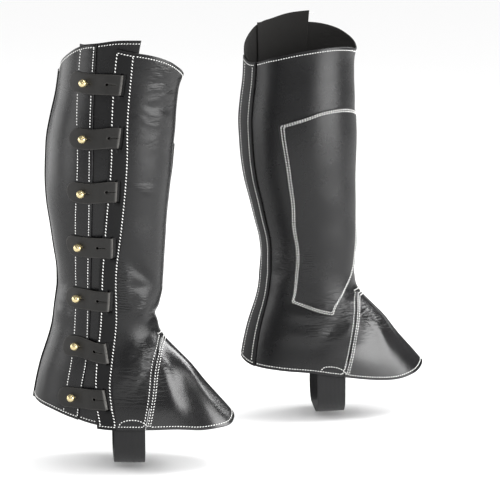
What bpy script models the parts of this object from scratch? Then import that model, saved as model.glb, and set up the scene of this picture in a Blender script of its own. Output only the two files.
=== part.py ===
"""A pair of leather half chaps, worn: a hollow leg with a tabbed outer opening and a spat foot.

Sizes in the tables are millimetres and degrees; the model is in metres, +Z up, +X to the toes
and +Y to the wearer's left. The origin is the middle of the right calf's hollow.
Angles run round the leg: 0 at the shin, 90 at the outer side, 180 at the back, -90 at the inner
side. Heights are above the ground that the wearer stands on. Every piece is laid on one surface,
the outside of the panels, and moved out or in from it by its own place in the layers.
"""
import math

import bmesh
import bpy
import numpy as np
from mathutils import Matrix, Vector

MM = 0.001
GROUND = -330.0

# Where each chap stands: its outer side, its ankle's place, the way its toes point, and how far
# the leg leans forward for each millimetre of height.
CHAPS = (
    {"name": "right", "side": -1.0, "x": -5.0, "y": 0.0, "turn": -3.0, "lean": 0.11},
    {"name": "left", "side": 1.0, "x": 223.0, "y": 235.0, "turn": 12.0, "lean": 0.0},
)
BEND_LOW, BEND_HIGH = 90.0, 240.0

# The leg's horizontal sections: two half ellipses that meet at the widest line.
SECTION_COLUMNS = ("height", "back", "front", "half_width", "widest")
SECTIONS = (
    (30, -84, 159, 50, 18),
    (50, -82, 149, 50, 18),
    (70, -80, 133, 50, 16),
    (94, -76, 112, 48, 11),
    (118, -70, 93, 47, 7),
    (130, -66, 81, 46, 5),
    (142, -62, 69, 45, 3),
    (154, -59, 60, 45, 1),
    (170, -57, 57, 45, 0),
    (191, -56, 58, 46, 0),
    (215, -57, 59, 48, -1),
    (239, -63, 58, 50, -3),
    (263, -69, 57, 53, -5),
    (286, -75, 56, 55, -8),
    (310, -79, 56, 57, -10),
    (334, -81, 56, 58, -11),
    (358, -82, 55, 58, -11),
    (381, -80, 55, 57, -10),
    (405, -77, 54, 56, -9),
    (430, -76, 55, 55, -8),
    (447, -76, 60, 55, -8),
    (480, -76, 65, 55, -8),
)

# Upper and lower edges of the panels round the leg.
RIM_COLUMNS = ("angle", "height")
TOP_RIM = (
    (-180, 431), (-160, 425), (-132, 431), (-100, 439), (-65, 443), (-40, 441), (-20, 438),
    (-5, 439), (10, 444), (25, 450), (42, 457), (61, 462), (81, 464), (96, 466), (112, 468),
    (132, 462), (150, 451), (168, 440), (180, 431),
)
HEM_RIM = (
    (-180, 75), (-153, 66), (-127, 62), (-99, 58), (-84, 53), (-67, 47), (-53, 45), (-37, 49),
    (-19, 56), (-3, 59), (10, 55), (22, 50), (35, 48), (47, 47), (60, 49), (77, 49), (104, 51),
    (121, 58), (138, 65), (158, 70), (180, 75),
)
UNDERLAP_RIM = ((60, 478), (74, 477), (95, 474), (112, 469), (128, 465))

# Lines that run down the outer side, as distances forward of the ankle.
LINE_COLUMNS = ("height", "placket", "band", "flap", "panel", "lap")
LINES = (
    (40, -4, 17, 11, -27, -46),
    (70, -5, 15, 11, -24, -44),
    (98, -7, 12, 11, -20, -41),
    (126, -6, 14, 12, -16, -36),
    (163, -4, 17, 14, -14, -33),
    (230, -7, 13, 13, -17, -38),
    (271, -7, 14, 14, -20, -42),
    (345, -8, 13, 13, -25, -48),
    (392, -10, 9, 10, -30, -52),
    (440, -13, 8, 11, -33, -54),
    (480, -12, 8, 14, -35, -55),
)

# The seam of the instep piece climbs the outer side, crosses the shin and comes down inside.
INSTEP_TOP = 150.0
INSTEP_HALF_ANGLE = 8.0
SEAM_COLUMNS = ("height", "outer", "inner")
SEAM = (
    (40, 46, 31),
    (59, 50, 35),
    (83, 54, 41),
    (114, 57, 46),
    (136, 60, 51),
    (150, 62, 55),
)

# Patch on the inner side: its side edges by height, its ends from front to back.
PATCH_SIDE_COLUMNS = ("height", "front", "back")
PATCH_SIDES = (
    (126, -80, -120),
    (137, -73, -120),
    (156, -52, -117),
    (175, -34, -116),
    (199, -30, -115),
    (229, -27, -117),
    (260, -24, -115),
    (303, -20, -115),
    (345, -14, -119),
    (372, -12, -121),
)
PATCH_END_COLUMNS = ("across", "top", "bottom")
PATCH_ENDS = (
    (0.0, 362, 126),
    (0.2, 369, 128),
    (0.45, 372, 132),
    (0.6, 370, 135),
    (0.8, 362, 139),
    (1.0, 354, 143),
)

# Largest creases, as long soft ridges (+) and troughs (-) of the leather, for each chap. A slope
# is measured from level towards the outer side's back.
CREASE_COLUMNS = ("angle", "height", "length", "width", "slope", "right", "left")
CREASES = (
    (2, 174, 32, 7, 0, -3.4, -1.0),
    (6, 200, 26, 9, 4, 1.4, 0.6),
    (44, 196, 15, 11, 60, 2.2, 1.2),
    (47, 224, 18, 6, 42, -2.4, -1.8),
    (66, 208, 20, 6, 86, 1.2, 1.5),
    (44, 139, 24, 6, -32, 2.4, 1.8),
    (72, 112, 26, 7, -58, 2.4, 1.6),
    (58, 118, 28, 6, -62, -2.6, -1.6),
    (40, 92, 44, 9, -78, -2.2, -1.4),
    (22, 96, 46, 10, -74, 1.8, 1.2),
    (-13, 191, 15, 7, 20, -1.0, -1.2),
    (-52, 138, 20, 6, 42, -1.4, -2.2),
    (-64, 112, 26, 8, 58, 1.6, 2.2),
    (-94, 126, 24, 7, -12, 1.2, 1.8),
    (-38, 92, 44, 10, 76, 1.8, 1.6),
    (-14, 92, 40, 9, 84, -1.6, -1.6),
    (152, 200, 26, 9, -8, -1.6, -2.0),
    (148, 172, 24, 8, 6, 1.2, 1.6),
    (-136, 178, 16, 8, 10, -1.0, -1.6),
)
CREASE_RADIUS = 52.0

# Layers, measured out from the outside of the panels.
WALL = 2.0
STRIP = 1.4
TAB = 1.9
ELASTIC = 1.5
LAYER_GAP = 0.4
PATCH_GAP = 0.9
SEAM_GAP = 0.36
# The back panel and the underlap end this much above the leg panel's hem.
BACK_HEM_LIFT = 3.0

# Heights of the rows of points between hem and top rim, before the rims bend them.
TOP_LEVEL, HEM_LEVEL = 470.0, 50.0
UPPER_ROWS = (470, 449, 420, 390, 356, 322, 294, 270, 248, 230, 215, 201, 189, 178, 169, 160,
              150)
LOWER_ROWS = (150, 143, 135, 126, 115, 101, 86, 67, 50)
ALL_ROWS = UPPER_ROWS + LOWER_ROWS[1:]
# Columns of points in each stretch round the leg; a layer shares the columns of its panel.
BAND_COLUMNS, OUTER_COLUMNS, MIDDLE_COLUMNS, INNER_COLUMNS = 2, 6, 2, 10
VAMP_COLUMNS, BACK_COLUMNS, LAP_COLUMNS, STRIP_COLUMNS = 12, 4, 1, 1
PATCH_COLUMNS, PATCH_ROWS = 9, 16

# Strip over the back seam, and the seam under it.
BACK_SEAM_ANGLE = -166.0
STRIP_ANGLES = (-151.0, -180.5)

# Tabs from top to bottom: height and place of the slot, height and place of the stud, length of
# the end past the stud, and the distance from the stud's hole to the spare one.
TAB_COLUMNS = ("slot_height", "slot_x", "stud_height", "stud_x", "end", "spare_hole")
TABS = (
    (428, -4.5, 425, -41.5, 22, 24.5),
    (372, -1, 366, -36.5, 18, 26),
    (314, 1.5, 308, -32.5, 19, 26),
    (252, 3, 249, -30, 18, 20),
    (192, 4.5, 192, -27, 18, 22),
    (134, 4.5, 140, -27, 19, 21),
    (83, 3.5, 84, -31, 20, 25),
)
TAB_WIDTH = 22.0
HOLE_SIDES = 8
HOLE_DEPTH = 16.0
HOLE_RADIUS = 2.7
SPARE_HOLE_RADIUS = 1.5
SLOT_WIDTH, SLOT_HEIGHT, SLOT_DEPTH, SLOT_LIP = 6.2, 24.0, 9.0, 0.2
# The tab's middle line beside its slot, as it folds down through it: along the tab, and out.
TAB_FOLD = ((-1.5, -0.6), (-1.5, 1.6), (-0.7, 2.9), (1.4, 3.2))
# Rows of the flat stretch: shares of the way to the stud, then distances before the round end.
TAB_SHARES = (0.18, 0.34, 0.56, 0.78, 1.0)
TAB_TIP = (8.5, 4.0, 1.2, 0.0)
# Shares of the way to the stud between which the tab comes down from the band to the panel.
TAB_DESCENT = (0.3, 0.75)
TAB_TIP_WIDTH = 0.2

# Stud turned about its own axis: radius and distance out from the panel.
STUD_PROFILE = ((0.0, 11.2), (2.6, 10.5), (4.1, 8.6), (4.4, 6.9), (3.5, 4.3), (2.0, 3.0),
                (2.0, 0.3), (0.0, 0.3))
STUD_SIDES = 8
STUD_MERGE = 0.00001

# Strap under the foot: how far forward it meets each side, its width and its lowest point.
STRAP_OUTER_X, STRAP_INNER_X = 31.0, 19.0
STRAP_WIDTH = 34.0
STRAP_LOW = 9.0
STRAP_TOP = 62.0
STRAP_CORNER = 22.0
STRAP_GAP = 0.9
STRAP_SIDE_ROWS, STRAP_CORNER_ROWS = 3, 5


def curve(table, columns, column, at):
    """Value of a table's column at `at`: a cubic through its rows, with the rows' mean slopes."""
    rows = np.array(table, dtype=float)
    keys, values = rows[:, 0], rows[:, columns.index(column)]
    slopes = np.gradient(values, keys)
    at = np.clip(at, keys[0], keys[-1])
    low = np.clip(np.searchsorted(keys, at) - 1, 0, len(keys) - 2)
    step = keys[low + 1] - keys[low]
    t = (at - keys[low]) / step
    start = (2 * t**3 - 3 * t**2 + 1) * values[low] + (t**3 - 2 * t**2 + t) * step * slopes[low]
    end = (3 * t**2 - 2 * t**3) * values[low + 1] + (t**3 - t**2) * step * slopes[low + 1]
    return start + end


def section(column, height):
    return curve(SECTIONS, SECTION_COLUMNS, column, height)


def angle_of(x, height):
    """Angle round the leg of the point `x` mm forward of the ankle, on the outer side."""
    widest = section("widest", height)
    forward = x > widest
    reach = np.where(forward, section("front", height) - widest, widest - section("back", height))
    return np.degrees(np.arccos(np.clip((x - widest) / reach, -1.0, 1.0)))


def smooth_step(t):
    t = np.clip(t, 0.0, 1.0)
    return t * t * (3 - 2 * t)


def posed(chap, x, y, height):
    """Lean the leg forward above the foot, turn the chap and put it in its place."""
    t = np.clip((height - BEND_LOW) / (BEND_HIGH - BEND_LOW), 0.0, 1.0)
    carried = (BEND_HIGH - BEND_LOW) * (t**3 - t**4 / 2) + np.maximum(0.0, height - BEND_HIGH)
    leaning = x + chap["lean"] * carried
    lifted = height - chap["lean"] * smooth_step(t) * x
    turn = math.radians(chap["turn"])
    across = chap["x"] + leaning * math.cos(turn) - y * math.sin(turn)
    deep = chap["y"] + leaning * math.sin(turn) + y * math.cos(turn)
    return np.stack([across, deep, lifted + GROUND], axis=-1) * MM


def smooth_point(chap, angle, height):
    """Point on the outside of the panels before any crease."""
    widest, half_width = section("widest", height), section("half_width", height)
    radians = np.radians(angle)
    forward = np.cos(radians) > 0
    reach = np.where(forward, section("front", height) - widest, widest - section("back", height))
    x = widest + reach * np.cos(radians)
    y = chap["side"] * half_width * np.sin(radians)
    return posed(chap, x, y, height)


def outward(surface, chap, angle, height):
    """Unit direction out of a surface, from points a little round and a little above it."""
    around, above = 2.0, 3.0
    along = surface(chap, angle + around, height) - surface(chap, angle - around, height)
    up = surface(chap, angle, height + above) - surface(chap, angle, height - above)
    normal = np.cross(along, up) * chap["side"]
    return normal / np.linalg.norm(normal, axis=-1, keepdims=True)


def crease_depth(chap, angle, height):
    """Sum of the long soft ridges and troughs, each a bell across and along its own line."""
    depth = np.zeros(np.broadcast(angle, height).shape)
    for row in CREASES:
        crease = dict(zip(CREASE_COLUMNS, row))
        around = (angle - crease["angle"] + 180.0) % 360.0 - 180.0
        aside = np.radians(around) * CREASE_RADIUS
        above = height - crease["height"]
        slope = math.radians(crease["slope"])
        lengthwise = (aside * math.cos(slope) + above * math.sin(slope)) / crease["length"]
        crosswise = (above * math.cos(slope) - aside * math.sin(slope)) / crease["width"]
        depth = depth + crease[chap["name"]] * np.exp(-lengthwise**2 - crosswise**2)
    return depth


def outside(chap, angle, height):
    """Point on the outside of the panels, creases included."""
    depth = crease_depth(chap, angle, height)[..., None] * MM
    return smooth_point(chap, angle, height) + outward(smooth_point, chap, angle, height) * depth


def laid(chap, angle, height, out):
    """Point `out` mm off the outside of the panels."""
    angle, height, out = np.broadcast_arrays(*(np.asarray(v, float) for v in (angle, height, out)))
    away = outward(outside, chap, angle, height)
    return outside(chap, angle, height) + away * (out * MM)[..., None]


def row_heights(nominal, angle, top_rim=TOP_RIM, lift=0.0):
    """Heights of the rows at an angle, stretched to reach the top rim and the hem."""
    folded = (angle + 180.0) % 360.0 - 180.0
    top_angle = angle if top_rim is UNDERLAP_RIM else folded
    top = curve(top_rim, RIM_COLUMNS, "height", top_angle)
    hem = curve(HEM_RIM, RIM_COLUMNS, "height", folded) + lift
    upper = (top - INSTEP_TOP) / (TOP_LEVEL - INSTEP_TOP)
    lower = (INSTEP_TOP - hem) / (INSTEP_TOP - HEM_LEVEL)
    return INSTEP_TOP + (nominal - INSTEP_TOP) * np.where(nominal > INSTEP_TOP, upper, lower)


def line_angle(column, nominal, shift=0.0):
    """Angle of a line down the outer side at a row, `shift` mm forward of it."""
    return angle_of(curve(LINES, LINE_COLUMNS, column, nominal) + shift, nominal)


def seam_angle(column, nominal, shift=0.0):
    """Angle of the instep seam at a row; above the instep the two sides stay a set angle apart."""
    side = 1.0 if column == "outer" else -1.0
    x = curve(SEAM, SEAM_COLUMNS, column, nominal) + shift
    below = np.abs(angle_of(x, nominal))
    above = INSTEP_HALF_ANGLE - shift * 0.5
    return side * np.where(nominal >= INSTEP_TOP, above, np.maximum(below, above))


def collection(name):
    group = bpy.data.collections.new(name)
    bpy.context.scene.collection.children.link(group)
    return group


def principled(name, colour, roughness, metallic=0.0):
    material = bpy.data.materials.new(name)
    material.use_nodes = True
    shader = material.node_tree.nodes["Principled BSDF"]
    shader.inputs["Base Color"].default_value = (*colour, 1.0)
    shader.inputs["Roughness"].default_value = roughness
    shader.inputs["Metallic"].default_value = metallic
    return material


def add_object(name, mesh, group, material):
    piece = bpy.data.objects.new(name, mesh)
    group.objects.link(piece)
    mesh.materials.append(material)
    mesh.shade_smooth()
    return piece


def grid_faces(rows, columns, flip, keep=None):
    """Quads of a grid of points, row by row; `keep` marks the cells that are there."""
    first = (np.arange(rows - 1)[:, None] * columns + np.arange(columns - 1)[None, :])
    quads = np.stack([first, first + columns, first + columns + 1, first + 1], axis=-1)
    quads = quads[keep] if keep is not None else quads.reshape(-1, 4)
    return quads[:, ::-1] if flip else quads


def sheet(name, points, thickness, group, material, flip):
    """A piece of even thickness: the grid of its inner face, made solid outwards."""
    rows, columns = points.shape[:2]
    mesh = bpy.data.meshes.new(name)
    mesh.from_pydata(points.reshape(-1, 3), [], grid_faces(rows, columns, flip).tolist())
    piece = add_object(name, mesh, group, material)
    solidify = piece.modifiers.new("thickness", "SOLIDIFY")
    solidify.thickness = thickness * MM
    solidify.offset = 1.0
    return piece


def mitred_wall(name, inner, outer, group, material, flip, keep=None):
    """A wall lofted between two faces whose points lie on shared normals.

    Neighbours that meet at an angle take the same normals along their seam, so their edges form
    a mitre with an even gap, which a thickness of each piece's own would close.
    """
    rows, columns = inner.shape[:2]
    front = grid_faces(rows, columns, flip, keep)
    back = front[:, ::-1] + rows * columns
    edges = {}
    for quad in front.tolist():
        for start, end in zip(quad, quad[1:] + quad[:1]):
            edges[(start, end)] = True
    rim = [(end, start, start + rows * columns, end + rows * columns)
           for start, end in edges if (end, start) not in edges]
    mesh = bpy.data.meshes.new(name)
    points = np.concatenate([outer.reshape(-1, 3), inner.reshape(-1, 3)])
    mesh.from_pydata(points, [], front.tolist() + back.tolist() + rim)
    shape = bmesh.new()
    shape.from_mesh(mesh)
    bmesh.ops.delete(shape, geom=[v for v in shape.verts if not v.link_faces], context="VERTS")
    shape.to_mesh(mesh)
    shape.free()
    return add_object(name, mesh, group, material)


def columns_between(lines, counts):
    """Angles of the columns, row by row: each stretch between two lines in equal shares."""
    lines = [np.broadcast_to(line, (len(ALL_ROWS),)) for line in lines]
    angles = [lines[0][:, None]]
    for start, end, count in zip(lines, lines[1:], counts):
        share = np.linspace(0.0, 1.0, count + 1)[None, 1:]
        angles.append(start[:, None] + (end - start)[:, None] * share)
    return np.concatenate(angles, axis=1)


def leg_panel(chap, group, material):
    """Front and inner side in one cut: from the placket edge round the shin to the back seam."""
    nominal = np.array(ALL_ROWS, float)
    half_gap = SEAM_GAP / 2
    lines = (line_angle("placket", nominal), line_angle("band", nominal),
             seam_angle("outer", nominal, -half_gap), seam_angle("inner", nominal, -half_gap),
             STRIP_ANGLES[0], BACK_SEAM_ANGLE + half_gap)
    counts = (BAND_COLUMNS, OUTER_COLUMNS, MIDDLE_COLUMNS, INNER_COLUMNS, STRIP_COLUMNS)
    angles = columns_between(lines, counts)
    heights = row_heights(nominal[:, None], angles)
    seam_row = len(UPPER_ROWS) - 1
    seam_column = BAND_COLUMNS + OUTER_COLUMNS
    heights[seam_row, seam_column:seam_column + MIDDLE_COLUMNS + 1] += half_gap
    keep = np.ones((len(nominal) - 1, angles.shape[1] - 1), bool)
    keep[seam_row:, seam_column:seam_column + MIDDLE_COLUMNS] = False
    return mitred_wall(chap["name"] + "_leg_panel", laid(chap, angles, heights, -WALL),
                       laid(chap, angles, heights, 0.0), group, material, chap["side"] > 0, keep)


def vamp(chap, group, material):
    """Instep piece that spreads over the foot from the top of its seam to the hem."""
    nominal = np.array(LOWER_ROWS, float)
    half_gap = SEAM_GAP / 2
    outer_seam = seam_angle("outer", nominal, half_gap)
    inner_seam = seam_angle("inner", nominal, half_gap)
    share = np.linspace(0.0, 1.0, VAMP_COLUMNS + 1)[None, :]
    angles = outer_seam[:, None] + (inner_seam - outer_seam)[:, None] * share
    heights = row_heights(nominal[:, None], angles)
    heights[0] -= half_gap
    return mitred_wall(chap["name"] + "_vamp", laid(chap, angles, heights, -WALL),
                       laid(chap, angles, heights, 0.0), group, material, chap["side"] > 0)


def back_panel(chap, group, material):
    """Outer back: from the back seam to the edge that carries the studs."""
    nominal = np.array(ALL_ROWS, float)
    lines = (360.0 + BACK_SEAM_ANGLE - SEAM_GAP / 2, 360.0 + STRIP_ANGLES[1],
             line_angle("lap", nominal), line_angle("panel", nominal))
    angles = columns_between(lines, (STRIP_COLUMNS, BACK_COLUMNS, LAP_COLUMNS))
    heights = row_heights(nominal[:, None], angles, lift=BACK_HEM_LIFT)
    return sheet(chap["name"] + "_back_panel", laid(chap, angles, heights, -WALL), WALL, group,
                 material, chap["side"] > 0)


def underlap(chap, group, material):
    """Flap under the opening, sewn behind the studs; its corner stands above the placket."""
    nominal = np.array(ALL_ROWS, float)
    lines = (line_angle("lap", nominal), line_angle("panel", nominal),
             line_angle("placket", nominal), line_angle("flap", nominal))
    angles = columns_between(lines, (LAP_COLUMNS, LAP_COLUMNS, BAND_COLUMNS))
    heights = row_heights(nominal[:, None], angles, UNDERLAP_RIM, BACK_HEM_LIFT)
    low = -WALL - LAYER_GAP - STRIP
    return sheet(chap["name"] + "_underlap", laid(chap, angles, heights, low), STRIP, group,
                 material, chap["side"] > 0)


def placket_band(chap, group, material):
    """Band on the placket edge of the leg panel, which the slots go through."""
    nominal = np.array(ALL_ROWS, float)
    lines = (line_angle("placket", nominal), line_angle("band", nominal))
    angles = columns_between(lines, (BAND_COLUMNS,))
    heights = row_heights(nominal[:, None], angles)
    return sheet(chap["name"] + "_placket_band", laid(chap, angles, heights, LAYER_GAP), STRIP,
                 group, material, chap["side"] > 0)


def back_strip(chap, group, material):
    """Strip that covers the back seam from rim to hem."""
    nominal = np.array(ALL_ROWS, float)
    lines = (STRIP_ANGLES[0], BACK_SEAM_ANGLE, STRIP_ANGLES[1])
    angles = columns_between(lines, (STRIP_COLUMNS, STRIP_COLUMNS))
    heights = row_heights(nominal[:, None], angles)
    return sheet(chap["name"] + "_back_strip", laid(chap, angles, heights, LAYER_GAP), STRIP,
                 group, material, chap["side"] > 0)


def calf_patch(chap, group, material):
    """Patch on the inner side, which narrows in a curve to its lower corner."""
    across = np.linspace(0.0, 1.0, PATCH_COLUMNS + 1)[None, :]
    down = np.linspace(0.0, 1.0, PATCH_ROWS + 1)[:, None]
    top = curve(PATCH_ENDS, PATCH_END_COLUMNS, "top", across)
    bottom = curve(PATCH_ENDS, PATCH_END_COLUMNS, "bottom", across)
    heights = top + (bottom - top) * down
    front = curve(PATCH_SIDES, PATCH_SIDE_COLUMNS, "front", heights)
    back = curve(PATCH_SIDES, PATCH_SIDE_COLUMNS, "back", heights)
    angles = front + (back - front) * across
    return sheet(chap["name"] + "_calf_patch", laid(chap, angles, heights, PATCH_GAP), STRIP,
                 group, material, chap["side"] > 0)


def foot_strap(chap, group, material):
    """Elastic strap sewn inside the hem on both sides, which passes under the foot's arch."""
    turn = np.radians(np.linspace(0.0, 90.0, STRAP_CORNER_ROWS))
    half_width = float(section("half_width", HEM_LEVEL)) - WALL - STRAP_GAP - ELASTIC
    corner_y = half_width - STRAP_CORNER * (1 - np.cos(turn))
    corner_height = STRAP_LOW + STRAP_CORNER * (1 - np.sin(turn))
    side_height = np.linspace(STRAP_TOP, corner_height[0], STRAP_SIDE_ROWS + 1)[:-1]
    outer_y = np.concatenate([np.full(STRAP_SIDE_ROWS, half_width), corner_y])
    outer_height = np.concatenate([side_height, corner_height])
    y = np.concatenate([outer_y, -outer_y[::-1]])
    height = np.concatenate([outer_height, outer_height[::-1]])
    share = (half_width - y) / (2 * half_width)
    middle = STRAP_OUTER_X + (STRAP_INNER_X - STRAP_OUTER_X) * share
    across = np.linspace(0.5, -0.5, 3)[None, :] * STRAP_WIDTH
    x = middle[:, None] + across
    widest = float(section("widest", HEM_LEVEL))
    reach = float(section("front", HEM_LEVEL)) - widest
    taper = np.sqrt(1 - (np.maximum(x - widest, 0.0) / reach) ** 2)
    y = y[:, None] * taper
    points = posed(chap, x, chap["side"] * y, height[:, None] + 0 * x)
    return sheet(chap["name"] + "_foot_strap", points, ELASTIC, group, material, chap["side"] < 0)


def tab_frame(chap, tab):
    """Angles of a tab's slot and stud, and the distance between them."""
    slot = angle_of(tab["slot_x"], tab["slot_height"])
    stud = angle_of(tab["stud_x"], tab["stud_height"])
    ends = smooth_point(chap, np.array([slot, stud]), np.full(2, float(tab["slot_height"])))
    return slot, stud, float(np.linalg.norm(ends[1] - ends[0])) / MM


def tab_point(chap, tab, along, across, out):
    """Point of a tab: `along` mm from its slot towards the stud, `across` mm above its middle."""
    slot, stud, length = tab_frame(chap, tab)
    share = along / length
    fall = tab["stud_height"] - tab["slot_height"]
    height = tab["slot_height"] + fall * smooth_step(share) + across
    return laid(chap, slot + (stud - slot) * share, height, out)


def tab_piece(chap, number, tab, group, material):
    """Tab that comes up through its slot, folds back over the opening and lies on the studs."""
    length = tab_frame(chap, tab)[2]
    end = length + tab["end"]
    on_band = LAYER_GAP + STRIP + LAYER_GAP + TAB / 2
    on_panel = LAYER_GAP + TAB / 2
    flat = np.concatenate([length * np.array(TAB_SHARES), end - np.array(TAB_TIP)])
    start, stop = TAB_DESCENT
    out = on_band + (on_panel - on_band) * smooth_step((flat / length - start) / (stop - start))
    fold = np.array(TAB_FOLD)
    along = np.concatenate([fold[:, 0], flat])
    out = np.concatenate([fold[:, 1], out])
    half = TAB_WIDTH / 2
    inside_end = np.clip((along - (end - half)) / half, 0.0, 1.0)
    half_width = half * np.maximum(np.sqrt(1 - inside_end**2), TAB_TIP_WIDTH)
    across = np.linspace(1.0, -1.0, 3)[None, :] * half_width[:, None]
    points = tab_point(chap, tab, along[:, None], across, out[:, None])
    piece = sheet("%s_tab_%d" % (chap["name"], number), points, TAB, group, material,
                  chap["side"] > 0)
    solidify = piece.modifiers["thickness"]
    solidify.offset = 0.0
    solidify.use_even_offset = True
    return piece


def facing(chap, tab, along):
    """Frame on the panel at a point of a tab: x along the tab, z straight out."""
    middle = Vector(tab_point(chap, tab, along, 0.0, 0.0))
    out = Vector(tab_point(chap, tab, along, 0.0, 1.0)) - middle
    ahead = Vector(tab_point(chap, tab, along + 1.0, 0.0, 0.0)) - middle
    out.normalize()
    across = out.cross(ahead).normalized()
    ahead = across.cross(out)
    rotation = Matrix((ahead, across, out)).transposed()
    return Matrix.Translation(middle) @ rotation.to_4x4()


def stud(chap, number, tab, group, material):
    """Ball stud: a turned neck and head, standing straight out of the back panel."""
    radii, heights = np.array(STUD_PROFILE).T * MM
    points = np.stack([radii, np.zeros(len(radii)), heights], axis=-1)
    mesh = bpy.data.meshes.new("stud")
    mesh.from_pydata(points, [(i, i + 1) for i in range(len(points) - 1)], [])
    piece = add_object("%s_stud_%d" % (chap["name"], number), mesh, group, material)
    piece.matrix_world = facing(chap, tab, tab_frame(chap, tab)[2])
    screw = piece.modifiers.new("turned", "SCREW")
    screw.steps = screw.render_steps = STUD_SIDES
    screw.use_merge_vertices = True
    screw.merge_threshold = STUD_MERGE
    return piece


def cutter(name, shape, group):
    mesh = bpy.data.meshes.new(name)
    shape.to_mesh(mesh)
    shape.free()
    piece = bpy.data.objects.new(name, mesh)
    piece.hide_render = True
    piece.display_type = "WIRE"
    group.objects.link(piece)
    return piece


def slot_cutter(chap, tabs, group):
    """One box for each slot, bent onto the surface, through the band and the panel under it."""
    shape = bmesh.new()
    for tab in tabs:
        for corner in bmesh.ops.create_cube(shape, size=1.0)["verts"]:
            along = SLOT_LIP + (corner.co.x - 0.5) * SLOT_WIDTH
            corner.co = tab_point(chap, tab, along, corner.co.y * SLOT_HEIGHT,
                                  corner.co.z * SLOT_DEPTH)
    if chap["side"] < 0:
        bmesh.ops.reverse_faces(shape, faces=shape.faces)
    bmesh.ops.triangulate(shape, faces=shape.faces)
    return cutter(chap["name"] + "_slots", shape, group)


def hole_cutter(chap, number, tab, group):
    """Round holes of one tab: the one on its stud and the spare one nearer the slot."""
    shape = bmesh.new()
    length = tab_frame(chap, tab)[2]
    holes = ((length, HOLE_RADIUS), (length - tab["spare_hole"], SPARE_HOLE_RADIUS))
    for along, radius in holes:
        bmesh.ops.create_cone(shape, cap_ends=True, segments=HOLE_SIDES, radius1=radius * MM,
                              radius2=radius * MM, depth=HOLE_DEPTH * MM,
                              matrix=facing(chap, tab, along))
    return cutter("%s_holes_%d" % (chap["name"], number), shape, group)


def cut(piece, tool):
    boolean = piece.modifiers.new("cut", "BOOLEAN")
    boolean.operation = "DIFFERENCE"
    boolean.object = tool


def chap_pieces(chap, parts, cutters, materials):
    tabs = [dict(zip(TAB_COLUMNS, row)) for row in TABS]
    panel = leg_panel(chap, parts, materials["leather"])
    vamp(chap, parts, materials["leather"])
    back_panel(chap, parts, materials["leather"])
    underlap(chap, parts, materials["leather"])
    band = placket_band(chap, parts, materials["trim"])
    back_strip(chap, parts, materials["trim"])
    calf_patch(chap, parts, materials["leather"])
    foot_strap(chap, parts, materials["elastic"])
    slots = slot_cutter(chap, tabs, cutters)
    cut(panel, slots)
    cut(band, slots)
    for number, tab in enumerate(tabs, 1):
        piece = tab_piece(chap, number, tab, parts, materials["tabs"])
        cut(piece, hole_cutter(chap, number, tab, cutters))
        stud(chap, number, tab, parts, materials["brass"])


def main():
    for old in list(bpy.data.objects):
        bpy.data.objects.remove(old)
    parts = collection("pair_of_half_chaps")
    cutters = collection("cutters")
    materials = {
        "leather": principled("black_leather", (0.020, 0.020, 0.021), 0.36),
        "trim": principled("black_trim_leather", (0.017, 0.017, 0.018), 0.50),
        "tabs": principled("tab_leather", (0.024, 0.022, 0.021), 0.55),
        "elastic": principled("black_elastic", (0.012, 0.012, 0.013), 0.85),
        "brass": principled("brass", (0.80, 0.60, 0.28), 0.22, 1.0),
    }
    for chap in CHAPS:
        chap_pieces(chap, parts, cutters, materials)


main()
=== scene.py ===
"""A worn pair of black leather half chaps with white saddle stitching, dressed over its CAD frame.

Sizes in the tables are millimetres and degrees; the scene is in metres, +Z up, +X to the toes and
+Y from the right chap to the left one. Angles run round a chap: 0 at its front, 90 at the outer
side, 180 at the back, -90 at the inner side. Heights are above the floor.
"""
import math

import bmesh
import bpy
import numpy as np
from mathutils import Matrix, Vector


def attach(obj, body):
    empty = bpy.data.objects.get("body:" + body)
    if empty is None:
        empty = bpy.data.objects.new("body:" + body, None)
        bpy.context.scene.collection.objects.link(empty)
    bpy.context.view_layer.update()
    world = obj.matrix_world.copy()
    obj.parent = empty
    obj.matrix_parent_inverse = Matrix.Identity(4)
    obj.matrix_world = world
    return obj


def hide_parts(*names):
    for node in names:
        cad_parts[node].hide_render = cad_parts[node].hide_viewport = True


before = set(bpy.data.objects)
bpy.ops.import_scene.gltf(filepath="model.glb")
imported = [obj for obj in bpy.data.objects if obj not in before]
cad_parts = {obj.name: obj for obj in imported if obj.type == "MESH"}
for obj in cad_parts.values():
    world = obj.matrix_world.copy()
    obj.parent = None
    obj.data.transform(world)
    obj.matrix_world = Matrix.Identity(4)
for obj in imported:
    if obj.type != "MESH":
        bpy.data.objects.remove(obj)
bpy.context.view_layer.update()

MM = 0.001
GROUND = -330.0

# Each chap's side, its place on the floor, how far it is turned out, and its forward lean.
CHAPS = (
    {"name": "right", "side": -1.0, "x": -5.0, "y": 0.0, "turn": -3.0, "lean": 0.11},
    {"name": "left", "side": 1.0, "x": 223.0, "y": 235.0, "turn": 12.0, "lean": 0.0},
)
# Heights between which the lean sets in.
BEND_LOW, BEND_HIGH = 90.0, 240.0

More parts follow.
